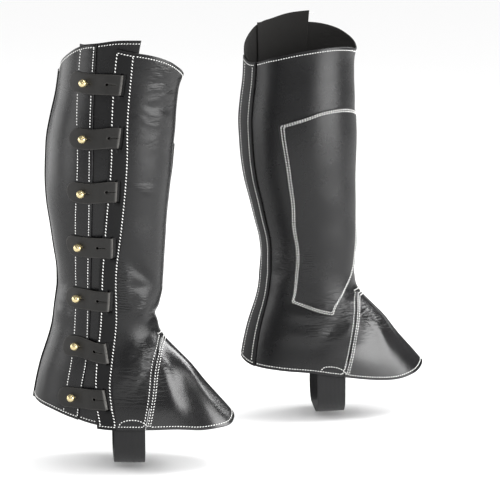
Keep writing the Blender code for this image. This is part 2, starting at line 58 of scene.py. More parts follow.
# Sections of the worn shape, as in the solids: reach back and front, half width and widest place.
SECTION_COLUMNS = ("height", "back", "front", "half_width", "widest")
SECTIONS = (
    (30, -84, 159, 50, 18),
    (50, -82, 149, 50, 18),
    (70, -80, 133, 50, 16),
    (94, -76, 112, 48, 11),
    (118, -70, 93, 47, 7),
    (130, -66, 81, 46, 5),
    (142, -62, 69, 45, 3),
    (154, -59, 60, 45, 1),
    (170, -57, 57, 45, 0),
    (191, -56, 58, 46, 0),
    (215, -57, 59, 48, -1),
    (239, -63, 58, 50, -3),
    (263, -69, 57, 53, -5),
    (286, -75, 56, 55, -8),
    (310, -79, 56, 57, -10),
    (334, -81, 56, 58, -11),
    (358, -82, 55, 58, -11),
    (381, -80, 55, 57, -10),
    (405, -77, 54, 56, -9),
    (430, -76, 55, 55, -8),
    (447, -76, 60, 55, -8),
    (480, -76, 65, 55, -8),
)

# Heights of the top rim, the hem and the underlap's top, round the chap.
RIM_COLUMNS = ("angle", "height")
TOP_RIM = (
    (-180, 431), (-160, 425), (-132, 431), (-100, 439), (-65, 443), (-40, 441), (-20, 438),
    (-5, 439), (10, 444), (25, 450), (42, 457), (61, 462), (81, 464), (96, 466), (112, 468),
    (132, 462), (150, 451), (168, 440), (180, 431),
)
HEM_RIM = (
    (-180, 75), (-153, 66), (-127, 62), (-99, 58), (-84, 53), (-67, 47), (-53, 45), (-37, 49),
    (-19, 56), (-3, 59), (10, 55), (22, 50), (35, 48), (47, 47), (60, 49), (77, 49), (104, 51),
    (121, 58), (138, 65), (158, 70), (180, 75),
)
UNDERLAP_RIM = ((60, 478), (74, 477), (95, 474), (112, 469), (128, 465))

# Lines down the outer side, as distances forward of the ankle.
LINE_COLUMNS = ("height", "placket", "band", "flap", "panel", "lap")
LINES = (
    (40, -4, 17, 11, -27, -46),
    (70, -5, 15, 11, -24, -44),
    (98, -7, 12, 11, -20, -41),
    (126, -6, 14, 12, -16, -36),
    (163, -4, 17, 14, -14, -33),
    (230, -7, 13, 13, -17, -38),
    (271, -7, 14, 14, -20, -42),
    (345, -8, 13, 13, -25, -48),
    (392, -10, 9, 10, -30, -52),
    (440, -13, 8, 11, -33, -54),
    (480, -12, 8, 14, -35, -55),
)

# The instep seam: its top, half its width there, and its distance forward on either side.
INSTEP_TOP = 150.0
INSTEP_HALF_ANGLE = 8.0
SEAM_COLUMNS = ("height", "outer", "inner")
SEAM = (
    (40, 46, 31),
    (59, 50, 35),
    (83, 54, 41),
    (114, 57, 46),
    (136, 60, 51),
    (150, 62, 55),
)

# The calf patch: angles of its two sides, and heights of its two ends at shares across it.
PATCH_SIDE_COLUMNS = ("height", "front", "back")
PATCH_SIDES = (
    (126, -80, -120),
    (137, -73, -120),
    (156, -52, -117),
    (175, -34, -116),
    (199, -30, -115),
    (229, -27, -117),
    (260, -24, -115),
    (303, -20, -115),
    (345, -14, -119),
    (372, -12, -121),
)
PATCH_END_COLUMNS = ("across", "top", "bottom")
PATCH_ENDS = (
    (0.0, 362, 126),
    (0.2, 369, 128),
    (0.45, 372, 132),
    (0.6, 370, 135),
    (0.8, 362, 139),
    (1.0, 354, 143),
)

# Main creases, as in the solids: place, length and width of a bell in mm, its slope from level, and
# its height off the leather on each chap.
CREASE_COLUMNS = ("angle", "height", "length", "width", "slope", "right", "left")
CREASES = (
    (2, 174, 32, 7, 0, -3.4, -1.0),
    (6, 200, 26, 9, 4, 1.4, 0.6),
    (44, 196, 15, 11, 60, 2.2, 1.2),
    (47, 224, 18, 6, 42, -2.4, -1.8),
    (66, 208, 20, 6, 86, 1.2, 1.5),
    (44, 139, 24, 6, -32, 2.4, 1.8),
    (72, 112, 26, 7, -58, 2.4, 1.6),
    (58, 118, 28, 6, -62, -2.6, -1.6),
    (40, 92, 44, 9, -78, -2.2, -1.4),
    (22, 96, 46, 10, -74, 1.8, 1.2),
    (-13, 191, 15, 7, 20, -1.0, -1.2),
    (-52, 138, 20, 6, 42, -1.4, -2.2),
    (-64, 112, 26, 8, 58, 1.6, 2.2),
    (-94, 126, 24, 7, -12, 1.2, 1.8),
    (-38, 92, 44, 10, 76, 1.8, 1.6),
    (-14, 92, 40, 9, 84, -1.6, -1.6),
    (152, 200, 26, 9, -8, -1.6, -2.0),
    (148, 172, 24, 8, 6, 1.2, 1.6),
    (-136, 178, 16, 8, 10, -1.0, -1.6),
)
# Radius that turns an angle into a distance round the leather.
CREASE_RADIUS = 52.0
# Softer folds of the leather over the ankle and under the patch, in the same columns.
FOLDS = (
    (50, 182, 18, 9, -6, 2.8, 1.2),
    (48, 209, 11, 6, 10, -1.8, -0.8),
    (30, 168, 12, 5, -20, -0.9, -0.7),
    (48, 318, 13, 4, 10, 0.6, 0.3),
    (50, 98, 34, 5.5, -76, 1.6, 1.0),
    (66, 122, 24, 3.5, -60, -0.9, -0.6),
    (-44, 98, 26, 5, 76, 0.8, 1.6),
    (-98, 103, 24, 9, -4, 1.2, 1.6),
    (-72, 106, 22, 6, 62, 0.8, 1.3),
    (-82, 112, 20, 4, 58, -0.8, -1.5),
    (-60, 132, 14, 6, 20, 1.0, 1.8),
    (24, 442, 18, 4.5, 12, 0.9, 0.5),
    (38, 434, 18, 4, -6, -0.9, -0.5),
    (28, 420, 20, 5, 8, 0.9, 0.6),
    (44, 408, 16, 4.5, -8, -0.7, -0.4),
    (32, 395, 18, 6, 4, 0.8, 0.4),
)
# Fine level pleats pressed beside the band over the ankle, and their like on the inner side.
PLEATS = (
    (70, 202, 7, 20, 1.0, 0.9),
    (64, 186, 8, 12, 0.7, 0.6),
    (-100, 196, 10, 18, 0.5, 0.6),
)

# Thickness of each layer, and the gaps between them.
WALL, STRIP, TAB, ELASTIC = 2.0, 1.4, 1.9, 1.5
LAYER_GAP, PATCH_GAP, SEAM_GAP = 0.4, 0.9, 0.36
BACK_HEM_LIFT = 3.0
TOP_LEVEL, HEM_LEVEL = 470.0, 50.0
BACK_SEAM_ANGLE = -166.0
STRIP_ANGLES = (-151.0, -180.5)
# Tabs from top to bottom: height and place of the slot and of the stud, length of the end past the
# stud, and the distance from the stud's hole to the spare one.
TAB_COLUMNS = ("slot_height", "slot_x", "stud_height", "stud_x", "end", "spare_hole")
TABS = (
    (428, -4.5, 425, -41.5, 22, 24.5),
    (372, -1, 366, -36.5, 18, 26),
    (314, 1.5, 308, -32.5, 19, 26),
    (252, 3, 249, -30, 18, 20),
    (192, 4.5, 192, -27, 18, 22),
    (134, 4.5, 140, -27, 19, 21),
    (83, 3.5, 84, -31, 20, 25),
)
TAB_WIDTH = 22.0
HOLE_RADIUS, SPARE_HOLE_RADIUS = 2.7, 1.5
# How near a hole's circle a grid point lies to be moved onto it.
HOLE_CATCH = 0.55
SLOT_WIDTH, SLOT_HEIGHT, SLOT_LIP = 6.2, 24.0, 0.2
# Where a tab stands in its slot, along it from the slot's near edge.
TAB_ROOT = -1.5
# Shares of the way to the stud between which the tab comes down from the band to the panel.
TAB_DESCENT = (0.3, 0.75)

# The fold of a tab above its slot: depths of its root, start and reach of its bend.
FOLD_ROOT = (-1.7, -0.6, 0.7)
FOLD_START, FOLD_REACH, FOLD_RISE = 1.1, 2.3, 2.1
TAB_FLAT_FROM, TAB_STEP, TAB_EDGE_RADIUS = 1.8, 0.9, 0.6
# Place along a tab from its root, and width, of its burnished fold with a painted highlight.
BURNISH_HIGHLIGHT_AT, BURNISH_HIGHLIGHT_WIDTH = 0.4, 0.7

STRAP_OUTER_X, STRAP_INNER_X = 31.0, 19.0
STRAP_WIDTH = 34.0
STRAP_LOW = 9.0
STRAP_TOP = 62.0
STRAP_CORNER = 22.0
STRAP_GAP = 0.9


def curve(table, columns, column, at):
    """Value of a table's column at `at`: a cubic through its rows, with the rows' mean slopes."""
    rows = np.array(table, dtype=float)
    keys, values = rows[:, 0], rows[:, columns.index(column)]
    slopes = np.gradient(values, keys)
    at = np.clip(at, keys[0], keys[-1])
    low = np.clip(np.searchsorted(keys, at) - 1, 0, len(keys) - 2)
    step = keys[low + 1] - keys[low]
    t = (at - keys[low]) / step
    start = (2 * t**3 - 3 * t**2 + 1) * values[low] + (t**3 - 2 * t**2 + t) * step * slopes[low]
    end = (3 * t**2 - 2 * t**3) * values[low + 1] + (t**3 - t**2) * step * slopes[low + 1]
    return start + end


def named_rows(columns, table):
    """A table's rows as dictionaries with the columns' names."""
    return [dict(zip(columns, row)) for row in table]


def section(column, height):
    """A section's measure at a height, off the curve through its rows."""
    return curve(SECTIONS, SECTION_COLUMNS, column, height)


def angle_of(x, height):
    """Angle round the leg of the point `x` mm forward of the ankle, on the outer side: the arc
    cosine of its share of the reach from the section's widest place."""
    widest = section("widest", height)
    forward = x > widest
    reach = np.where(forward, section("front", height) - widest, widest - section("back", height))
    return np.degrees(np.arccos(np.clip((x - widest) / reach, -1.0, 1.0)))


def smooth_step(t):
    """Eases from 0 to 1: three t squared less two t cubed, level at both ends."""
    t = np.clip(t, 0.0, 1.0)
    return t * t * (3 - 2 * t)


def posed(chap, x, y, height):
    """Leans the leg, turns the chap and puts it in its place: between the bend heights a lean eases
    in, which carries a point forward by its height and lowers it by its distance forward."""
    t = np.clip((height - BEND_LOW) / (BEND_HIGH - BEND_LOW), 0.0, 1.0)
    carried = (BEND_HIGH - BEND_LOW) * (t**3 - t**4 / 2) + np.maximum(0.0, height - BEND_HIGH)
    leaning = x + chap["lean"] * carried
    lifted = height - chap["lean"] * smooth_step(t) * x
    turn = math.radians(chap["turn"])
    across = chap["x"] + leaning * math.cos(turn) - y * math.sin(turn)
    deep = chap["y"] + leaning * math.sin(turn) + y * math.cos(turn)
    return np.stack([across, deep, lifted + GROUND], axis=-1) * MM


def smooth_point(chap, angle, height):
    """Point on the outside of the panels before any crease: one half ellipse ahead of the widest
    place and one behind it, the angle's cosine by the reach and its sine by the half width."""
    widest, half_width = section("widest", height), section("half_width", height)
    radians = np.radians(angle)
    forward = np.cos(radians) > 0
    reach = np.where(forward, section("front", height) - widest, widest - section("back", height))
    x = widest + reach * np.cos(radians)
    y = chap["side"] * half_width * np.sin(radians)
    return posed(chap, x, y, height)


def outward(surface, chap, angle, height):
    """Unit direction out of a surface, from points a little round and a little above it."""
    around, above = 2.0, 3.0
    along = surface(chap, angle + around, height) - surface(chap, angle - around, height)
    up = surface(chap, angle, height + above) - surface(chap, angle, height - above)
    normal = np.cross(along, up) * chap["side"]
    return normal / np.linalg.norm(normal, axis=-1, keepdims=True)


def from_place(place, angle, height):
    """Distances in mm round the leather and up it, from a place in one of the tables."""
    around = (angle - place["angle"] + 180.0) % 360.0 - 180.0
    return np.radians(around) * CREASE_RADIUS, height - place["height"]


def crease_depth(chap, angle, height):
    """Sum of the long soft ridges and troughs, each a bell across and along its own line."""
    depth = np.zeros(np.broadcast(angle, height).shape)
    for crease in named_rows(CREASE_COLUMNS, CREASES + FOLDS):
        aside, above = from_place(crease, angle, height)
        slope = math.radians(crease["slope"])
        lengthwise = (aside * math.cos(slope) + above * math.sin(slope)) / crease["length"]
        crosswise = (above * math.cos(slope) - aside * math.sin(slope)) / crease["width"]
        depth = depth + crease[chap["name"]] * np.exp(-lengthwise**2 - crosswise**2)
    return depth


def outside(chap, angle, height):
    """Point on the outside of the panels: the smooth one, moved out by the creases and ripples."""
    depth = crease_depth(chap, angle, height) + ripple_depth(chap, angle, height)
    depth = depth[..., None] * MM
    return smooth_point(chap, angle, height) + outward(smooth_point, chap, angle, height) * depth


def laid(chap, angle, height, out):
    """Point `out` mm off the outside of the panels."""
    angle, height, out = np.broadcast_arrays(*(np.asarray(v, float) for v in (angle, height, out)))
    base, away = skin(chap, angle, height)
    return base + away * (out * MM)[..., None]


def rim_height(angle, rim, shift):
    """Height of a rim at an angle, moved up by `shift`; the underlap's angles don't wrap."""
    folded = (np.asarray(angle, float) + 180.0) % 360.0 - 180.0
    at = angle if rim is UNDERLAP_RIM else folded
    return curve(rim, RIM_COLUMNS, "height", at) + shift


def row_heights(nominal, angle, top_rim=TOP_RIM, lift=0.0):
    """Heights of the rows at an angle, stretched to reach the top rim and the hem."""
    top = rim_height(angle, top_rim, 0.0)
    hem = rim_height(angle, HEM_RIM, lift)
    upper = (top - INSTEP_TOP) / (TOP_LEVEL - INSTEP_TOP)
    lower = (INSTEP_TOP - hem) / (INSTEP_TOP - HEM_LEVEL)
    return INSTEP_TOP + (nominal - INSTEP_TOP) * np.where(nominal > INSTEP_TOP, upper, lower)


def line_angle(column, nominal, shift=0.0):
    """Angle of a line down the outer side at a row, `shift` mm forward of it."""
    return angle_of(curve(LINES, LINE_COLUMNS, column, nominal) + shift, nominal)


def seam_angle(column, nominal, shift=0.0):
    """Angle of the instep seam at a row; above the instep the two sides stay a set angle apart."""
    side = 1.0 if column == "outer" else -1.0
    x = curve(SEAM, SEAM_COLUMNS, column, nominal) + shift
    below = np.abs(angle_of(x, nominal))
    above = INSTEP_HALF_ANGLE - shift * 0.5
    return side * np.where(nominal >= INSTEP_TOP, above, np.maximum(below, above))


# How fine the dressed surfaces are, and the rounding of a cut leather edge.
ROW_STEP, COLUMN_STEP, BAND_STEP = 2.9, 2.7, 1.0
EDGE_ROWS = (0.0, 0.12, 0.4, 0.8)
EDGE_RADIUS = 0.8

# Where fine wrinkles gather: place, reach round and up the leg in mm, and strength on each chap.
WRINKLE_COLUMNS = ("angle", "height", "around", "up", "right", "left")
WRINKLES = (
    (42, 449, 17, 8, 0.8, 0.4),
    (40, 431, 15, 9, 0.65, 0.5),
    (30, 412, 16, 8, 0.5, 0.4),
    (44, 392, 13, 7, 0.3, 0.3),
    (38, 368, 13, 8, 0.22, 0.3),
    (48, 318, 12, 6, 0.3, 0.15),
    (70, 214, 8, 26, 0.55, 0.5),
    (50, 186, 10, 14, 0.35, 0.4),
    (30, 190, 12, 12, 0.3, 0.4),
    (52, 128, 10, 16, 0.7, 0.7),
    (66, 104, 10, 15, 0.8, 0.7),
    (78, 88, 9, 12, 0.3, 0.3),
    (-20, 430, 22, 16, 0.5, 0.2),
    (-66, 128, 18, 20, 0.7, 0.8),
    (-92, 112, 12, 18, 0.5, 0.6),
    (-34, 112, 16, 20, 0.3, 0.3),
    (140, 190, 20, 22, 0.3, 0.4),
    (-128, 190, 18, 26, 0.3, 0.4),
    (148, 420, 22, 14, 0.15, 0.2),
)
# Small ripples in the leather itself: wave length, slope from level, and depth on each chap.
RIPPLE_COLUMNS = ("angle", "height", "around", "up", "wave", "slope", "right", "left")
RIPPLES = (
    (42, 448, 19, 9, 9.5, 8, 0.62, 0.16),
    (36, 426, 17, 13, 11.5, -7, 0.60, 0.22),
    (46, 398, 18, 12, 12.0, 5, 0.40, 0.20),
    (40, 370, 15, 12, 13.0, -4, 0.16, 0.14),
    (50, 318, 14, 8, 8.0, -10, 0.24, 0.10),
    (56, 122, 11, 18, 7.0, -58, 0.26, 0.24),
    (72, 98, 9, 16, 6.5, -62, 0.24, 0.20),
    (-64, 126, 16, 18, 10.0, 52, 0.20, 0.28),
    (144, 192, 20, 22, 12.0, -5, 0.16, 0.22),
    (-126, 196, 16, 24, 12.0, 6, 0.12, 0.18),
)

# Rows of white stitches down the outer side, as distances forward of the ankle.
ROW_COLUMNS = ("height", "placket", "band", "stud_front", "stud_back")
STITCH_ROWS = (
    (40, 0, 15, -28, -44),
    (58, -1, 15, -27, -43),
    (69, -3, 13, -26, -42),
    (96, -5, 10, -22, -38),
    (123, -4, 12, -17, -33),
    (164, -1, 15, -16, -30),
    (230, -3, 11, -20, -34),
    (276, -4, 12, -23, -38),
    (345, -5, 11, -29, -42),
    (392, -9, 7, -33, -48),
    (446, -11, 6, -36, -51),
    (480, -10, 6, -37, -51),
)
# Two gauges of thread: pitch, length and radius of a stitch on the band, and everywhere else.
THICK_THREAD = (3.5, 2.3, 0.6)
FINE_THREAD = (3.1, 1.95, 0.5)
RIM_INSET, HEM_INSET = 3.6, 3.8
# One stitch as rings: share of its half length, radius and lift as shares of the thread's radius.
STITCH_SHAPE = ((-1.0, 0.45, -0.9), (-0.78, 0.9, -0.05), (0.0, 1.0, 0.2), (0.78, 0.9, -0.05),
                (1.0, 0.45, -0.9))
STITCH_SIDES = 6
# Distances between the fine pleats and between the elastic's ribs and picks, in metres.
PLEAT_PITCH, RIB_PITCH, PICK_PITCH = 0.003, 0.0016, 0.0011

# Ball stud in full detail: radius and distance out from the panel.
BALL_PROFILE = ((0.0, 11.2), (0.9, 11.15), (1.8, 10.9), (2.9, 10.25), (3.7, 9.3), (4.25, 8.1),
                (4.4, 6.9), (4.1, 5.6), (3.4, 4.5), (2.5, 3.8), (2.05, 3.3), (2.0, 2.6),
                (2.0, 0.9), (3.4, 0.75), (3.5, 0.3), (0.0, 0.3))
BALL_SIDES = 28

# Rows: degrees in from the strip's edges, mm in from the patch's, and mm off the instep seam.
STRIP_ROW_INSETS = (4.5, 8.5)
PATCH_ROW_INSETS, PATCH_ROW_SLANT = (1.7, 3.7), 32.0
PATCH_ACROSS, PATCH_DOWN, PATCH_ROW_POINTS = 80.0, 235.0, 150
SEAM_ROWS = ((-2.2, 26.0), (2.4, 30.0), (5.0, -30.0))
ROUND_SLANT = 12.0
# Rows down the outer side: height off the panels, slant of a stitch, lift of the hem, and thread.
DOWN_ROWS = (
    ("placket", LAYER_GAP + STRIP, 22.0, 0.0, THICK_THREAD),
    ("band", LAYER_GAP + STRIP, 34.0, 0.0, THICK_THREAD),
    ("stud_front", 0.0, 6.0, BACK_HEM_LIFT, FINE_THREAD),
    ("stud_back", 0.0, 6.0, BACK_HEM_LIFT, FINE_THREAD),
)
# Where the rows along rim and hem turn from piece to piece: a line, its row, and mm forward of it.
BAND_TOP, PLACKET_TOP, PANEL_TOP = ("band", 460.0), ("placket", 460.0, 1.8), ("panel", 455.0, -1.8)
BAND_HEM, PLACKET_HEM, PANEL_HEM = ("band", 52.0), ("placket", 52.0, 1.8), ("panel", 62.0, -1.8)
# How many points lay out each row: rim and hem, back strip, instep seam and over it, half moon.
RIM_POINTS, STRIP_POINTS, SEAM_POINTS, SEAM_TOP_POINTS, MOON_POINTS = 120, 200, 90, 20, 60
SLIT_WIDTH = 0.6
SLIT_LENGTHS = (6.5, 9.0)
MOON_HALF_WIDTH, MOON_HEIGHT = 14.5, 6.5
# How much the stitches differ in gauge, and the draws for it on each chap.
STITCH_SPREAD, STITCH_SEEDS = 0.08, {"right": 7, "left": 11}

# Each leather: name; dark, light, raw edge and suede colours; roughness; depth of the grain and of
# the line pressed beside an edge; gloss gained and lighter colour where it is wrinkled, which on a
# tab's fold is a painted highlight, with the specular level between them.
LEATHERS = {
    "leather": ("smooth_black_leather",
                ((0.005, 0.005, 0.0055), (0.009, 0.009, 0.0095), (0.003, 0.003, 0.003),
                 (0.016, 0.015, 0.014)), 0.21, 0.030, 0.0, 0.04, 0.5, (0.016, 0.016, 0.016)),
    "instep": ("polished_black_leather",
               ((0.005, 0.005, 0.0055), (0.008, 0.008, 0.0085), (0.003, 0.003, 0.003),
                (0.016, 0.015, 0.014)), 0.17, 0.020, 0.0, 0.02, 0.95, (0.014, 0.014, 0.014)),
    "trim": ("matt_black_leather",
             ((0.005, 0.005, 0.0055), (0.009, 0.009, 0.0095), (0.003, 0.003, 0.003),
              (0.014, 0.013, 0.012)), 0.46, 0.03, 0.0, 0.0, 0.26, (0.010, 0.010, 0.010)),
    # The tabs' last colour is much lighter: the painted highlight along their folds.
    "tabs": ("waxed_tab_leather",
             ((0.010, 0.0095, 0.0085), (0.017, 0.016, 0.0145), (0.05, 0.047, 0.043),
              (0.020, 0.018, 0.016)), 0.42, 0.05, 0.10, 0.16, 0.5, (0.13, 0.125, 0.118)),
}

# Camera: lens in mm, its place in metres and how far it looks down.
LENS, CAMERA_PLACE, CAMERA_TILT = 200.0, (0.155, -3.0, 0.449), 10.184
FLOOR_REACH = 12.0

# Studio: how bright the surroundings are, to the eye and in reflections; the floor's colour and how
# much of it shows in reflections; and each soft box as its azimuth from the front, its height in
# degrees, its width and height in metres, and how bright it is.
WORLD_STRENGTH, WORLD_REFLECTED = 1.05, 0.12
FLOOR_COLOUR = (0.93, 0.93, 0.93)
FLOOR_REFLECTED = 0.62
BOX_CENTRE, BOX_DISTANCE = (0.15, 0.1, 0.0), 2.2
SOFT_BOXES = (
    ("right_box", 62, 4, 1.6, 1.3, 5.2),
    ("left_box", -112, 4, 1.6, 1.3, 2.3),
    ("left_front_box", -68, 2, 0.8, 1.2, 2.6),
    ("instep_box", 104, 30, 0.5, 0.5, 11.0),
    ("front_top_box", -2, 31, 1.1, 0.55, 2.5),
    ("back_right_box", 132, 33, 1.0, 0.8, 9.0),
    ("high_box", 90, 65, 0.9, 0.9, 8.0),
)


def ripple_depth(chap, angle, height):
    """Small waves within soft bounds: a bell round each place times a sine across its slope."""
    depth = np.zeros(np.broadcast(angle, height).shape)
    for ripple in named_rows(RIPPLE_COLUMNS, RIPPLES):
        aside, above = from_place(ripple, angle, height)
        slope = math.radians(ripple["slope"])
        across = above * math.cos(slope) - aside * math.sin(slope)
        wander = 2.2 * np.sin(aside / 7.0 + ripple["height"]) + 1.2 * np.sin(aside / 3.1)
        wave = np.sin(2 * math.pi * (across + wander) / ripple["wave"])
        bell = np.exp(-(aside / ripple["around"])**2 - (above / ripple["up"])**2)
        depth = depth + ripple[chap["name"]] * bell * wave
    return depth


def gathered(places, chap, angle, height):
    """How wrinkled the leather is, 0 to 1: the sum of soft bells, one for each place."""
    mask = np.zeros(np.broadcast(angle, height).shape)
    for place in named_rows(WRINKLE_COLUMNS, places):
        aside, above = from_place(place, angle, height)
        bell = np.exp(-(aside / place["around"])**2 - (above / place["up"])**2)
        mask = mask + place[chap["name"]] * bell
    return np.clip(mask, 0.0, 1.0)


def skin(chap, angle, height):
    """Points on the outside of the panels and the unit directions out of it there."""
    return outside(chap, angle, height), outward(outside, chap, angle, height)


def spaced(length, step, head, tail):
    """Shares 0 to 1 along `length` mm, about `step` mm apart, and closer at a cut end."""
    edge = np.array(EDGE_ROWS)
    start = edge[-1] if head else 0.0
    stop = length - edge[-1] if tail else length
    count = max(1, round((stop - start) / step))
    marks = [edge[:-1] if head else edge[:0], np.linspace(start, stop, count + 1),
             length - edge[-2::-1] if tail else edge[:0]]
    return np.concatenate(marks) / length


def nominal_rows():
    """Rows from rim to hem, closer at both and on either side of the top of the instep seam."""
    high, low = TOP_LEVEL - INSTEP_TOP, INSTEP_TOP - HEM_LEVEL
    upper = TOP_LEVEL - high * spaced(high, ROW_STEP, True, True)
    lower = INSTEP_TOP - low * spaced(low, ROW_STEP, True, True)
    return upper, lower


def all_rows():
    """Every row from the rim to the hem, once."""
    upper, lower = nominal_rows()
    return np.concatenate([upper, lower[1:]])


def stretches(lines, shares, rows):
    """Angles of the columns, row by row: each stretch between two lines at its own shares."""
    lines = [np.broadcast_to(line, (rows,)) for line in lines]
    angles = [lines[0][:, None]]
    for start, end, share in zip(lines, lines[1:], shares):
        angles.append(start[:, None] + (end - start)[:, None] * share[None, 1:])
    return np.concatenate(angles, axis=1)


def panel_grid(nominal, lines, shares, top_rim=TOP_RIM, lift=0.0):
    """Angles and heights of a panel: columns between its lines, rows between its rim and hem."""
    angles = stretches(lines, shares, len(nominal))
    return angles, row_heights(nominal[:, None], angles, top_rim, lift)


def open_slots(chap, angles, heights, keep):
    """Cuts the tabs' slots: the nearest grid lines move onto each slot, and its cells go."""
    for tab in named_rows(TAB_COLUMNS, TABS):
        slot, stud_angle, length = tab_frame(chap, tab)
        turn = (stud_angle - slot) / length
        near, far = slot + turn * SLOT_LIP, slot + turn * (SLOT_LIP - SLOT_WIDTH)
        top, low = tab["slot_height"] + SLOT_HEIGHT / 2, tab["slot_height"] - SLOT_HEIGHT / 2
        first = int(np.abs(heights[:, 0] - top).argmin())
        last = int(np.abs(heights[:, 0] - low).argmin())
        rows = np.arange(first, last + 1)
        left = np.abs(angles[rows] - far).argmin(axis=1)
        right = np.abs(angles[rows] - near).argmin(axis=1)
        left, right = int(np.median(left)), int(np.median(right))
        angles[rows, left], angles[rows, right] = far, near
        columns = np.arange(min(left, right), max(left, right) + 1)
        heights[first, columns], heights[last, columns] = top, low
        keep[first:last, columns[0]:columns[-1]] = False


def border(keep):
    """Ends of the grid edges that have a kept cell on one side only, in the cells' own turn."""
    rows, columns = keep.shape
    index = np.arange((rows + 1) * (columns + 1)).reshape(rows + 1, columns + 1)
    padded = np.zeros((rows + 2, columns + 2), bool)
    padded[1:-1, 1:-1] = keep
    above, below = padded[:-1, 1:-1], padded[1:, 1:-1]
    before, after = padded[1:-1, :-1], padded[1:-1, 1:]
    left_ends, right_ends = index[:, :-1], index[:, 1:]
    high_ends, low_ends = index[:-1, :], index[1:, :]
    sets = (
        (right_ends, left_ends, below & ~above),
        (left_ends, right_ends, above & ~below),
        (high_ends, low_ends, after & ~before),
        (low_ends, high_ends, before & ~after),
    )
    starts = np.concatenate([start[mask] for start, end, mask in sets])
    ends = np.concatenate([end[mask] for start, end, mask in sets])
    return starts, ends


def distance_to(points, starts, ends):
    """Distance from each point to the nearest of the segments, worked out in blocks."""
    lines = ends - starts
    squares = np.maximum((lines**2).sum(axis=1), 1e-12)
    nearest = np.empty(len(points))
    block = 1500
    for first in range(0, len(points), block):
        some = points[first:first + block, None, :] - starts[None]
        share = np.clip((some * lines[None]).sum(axis=2) / squares, 0.0, 1.0)
        gap = some - lines[None] * share[..., None]
        nearest[first:first + block] = np.sqrt((gap**2).sum(axis=2).min(axis=1))
    return nearest


def rounded(inset, radius):
    """How far a face sinks towards a cut edge: a quarter circle of that radius."""
    rise = np.clip(radius - inset, 0.0, radius)
    return radius - np.sqrt(radius**2 - rise**2)


def put_mesh(name, points, quads, material, values=None, chart=None):
    """A mesh object at the origin from whole arrays: points, quads, point values, UV points."""
    used, quads = np.unique(quads, return_inverse=True)
    quads = quads.reshape(-1, 4)
    mesh = bpy.data.meshes.new(name)
    mesh.vertices.add(len(used))
    mesh.vertices.foreach_set("co", points[used].astype(np.float32).ravel())
    mesh.loops.add(quads.size)
    mesh.loops.foreach_set("vertex_index", quads.astype(np.int32).ravel())
    mesh.polygons.add(len(quads))
    mesh.polygons.foreach_set("loop_start", np.arange(0, quads.size, 4, dtype=np.int32))
    mesh.update(calc_edges=True)
    mesh.shade_smooth()
    for key, value in (values or {}).items():
        layer = mesh.attributes.new(key, "FLOAT", "POINT")
        layer.data.foreach_set("value", value.ravel()[used].astype(np.float32))
    if chart is not None:
        layer = mesh.uv_layers.new(name="surface")
        corners = chart.reshape(-1, 2)[used][quads.ravel()]
        layer.uv.foreach_set("vector", corners.astype(np.float32).ravel())
    mesh.materials.append(material)
    piece = bpy.data.objects.new(name, mesh)
    bpy.context.scene.collection.objects.link(piece)
    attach(piece, "root")
    return piece


def sewn(node_name):
    """Hides the solid that a piece stands for."""
    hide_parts(node_name)


def two_faced(name, outer, inner, keep, flip, material, values, chart):
    """A closed wall: the outer grid, the inner grid turned round, and quads along every border."""
    rows, columns = outer.shape[:2]
    count = rows * columns
    first = (np.arange(rows - 1)[:, None] * columns + np.arange(columns - 1)[None, :])
    front = np.stack([first, first + columns, first + columns + 1, first + 1], axis=-1)[keep]
    starts, ends = border(keep)
    rim = np.stack([ends, starts, starts + count, ends + count], axis=-1)
    quads = np.concatenate([front, front[:, ::-1] + count, rim])
    if flip:
        quads = quads[:, ::-1]
    points = np.concatenate([outer.reshape(-1, 3), inner.reshape(-1, 3)])
    doubled = {key: np.concatenate([value.ravel(), value.ravel()]) for key, value in values.items()}
    doubled["flesh"] = np.repeat([0.0, 1.0], count)
    both = np.concatenate([chart.reshape(-1, 2)] * 2)
    return put_mesh(name, points, quads, material, doubled, both)


def shell(chap, name, node_name, grid, low, high, material, keep=None):
    """A piece of leather between two depths off the panels' outside, its cut edges rounded."""
    angles, heights = grid
    keep = np.ones((angles.shape[0] - 1, angles.shape[1] - 1), bool) if keep is None else keep
    base, away = skin(chap, angles, heights)
    middle = base + away * ((low + high) / 2 * MM)
    flat = middle.reshape(-1, 3) / MM
    starts, ends = border(keep)
    inset = distance_to(flat, flat[starts], flat[ends]).reshape(angles.shape)
    sink = rounded(inset, min(EDGE_RADIUS, 0.42 * (high - low)))
    outer = base + away * ((high - sink) * MM)[..., None]
    inner = base + away * ((low + sink) * MM)[..., None]
    values = {"inset": inset, "crease_and_fold_highlight": gathered(WRINKLES, chap, angles, heights),
              "pleat": gathered(PLEATS, chap, angles, heights)}
    chart = np.stack([np.radians(angles) * CREASE_RADIUS * MM, heights * MM], axis=-1)
    piece = two_faced(chap["name"] + "_" + name, outer, inner, keep, chap["side"] > 0, material,
                      values, chart)
    sewn(chap["name"] + "_" + node_name)


def leg_panel(chap, material):
    """Front and inner side: from the placket edge round the shin to the back seam."""
    nominal = all_rows()
    half_gap = SEAM_GAP / 2
    lines = (line_angle("placket", nominal), line_angle("band", nominal),
             seam_angle("outer", nominal, -half_gap), seam_angle("inner", nominal, -half_gap),
             BACK_SEAM_ANGLE + half_gap)
    shares = (spaced(20.0, BAND_STEP, True, False), spaced(62.0, COLUMN_STEP, False, True),
              spaced(15.0, COLUMN_STEP, True, True), spaced(140.0, COLUMN_STEP, True, True))
    angles, heights = panel_grid(nominal, lines, shares)
    seam_row = len(nominal_rows()[0]) - 1
    seam_column = len(shares[0]) + len(shares[1]) - 2
    middle = slice(seam_column, seam_column + len(shares[2]) - 1)
    heights[seam_row, middle.start:middle.stop + 1] += half_gap
    keep = np.ones((len(nominal) - 1, angles.shape[1] - 1), bool)
    keep[seam_row:, middle] = False
    open_slots(chap, angles, heights, keep)
    shell(chap, "leg", "leg_panel", (angles, heights), -WALL, 0.0, material, keep)


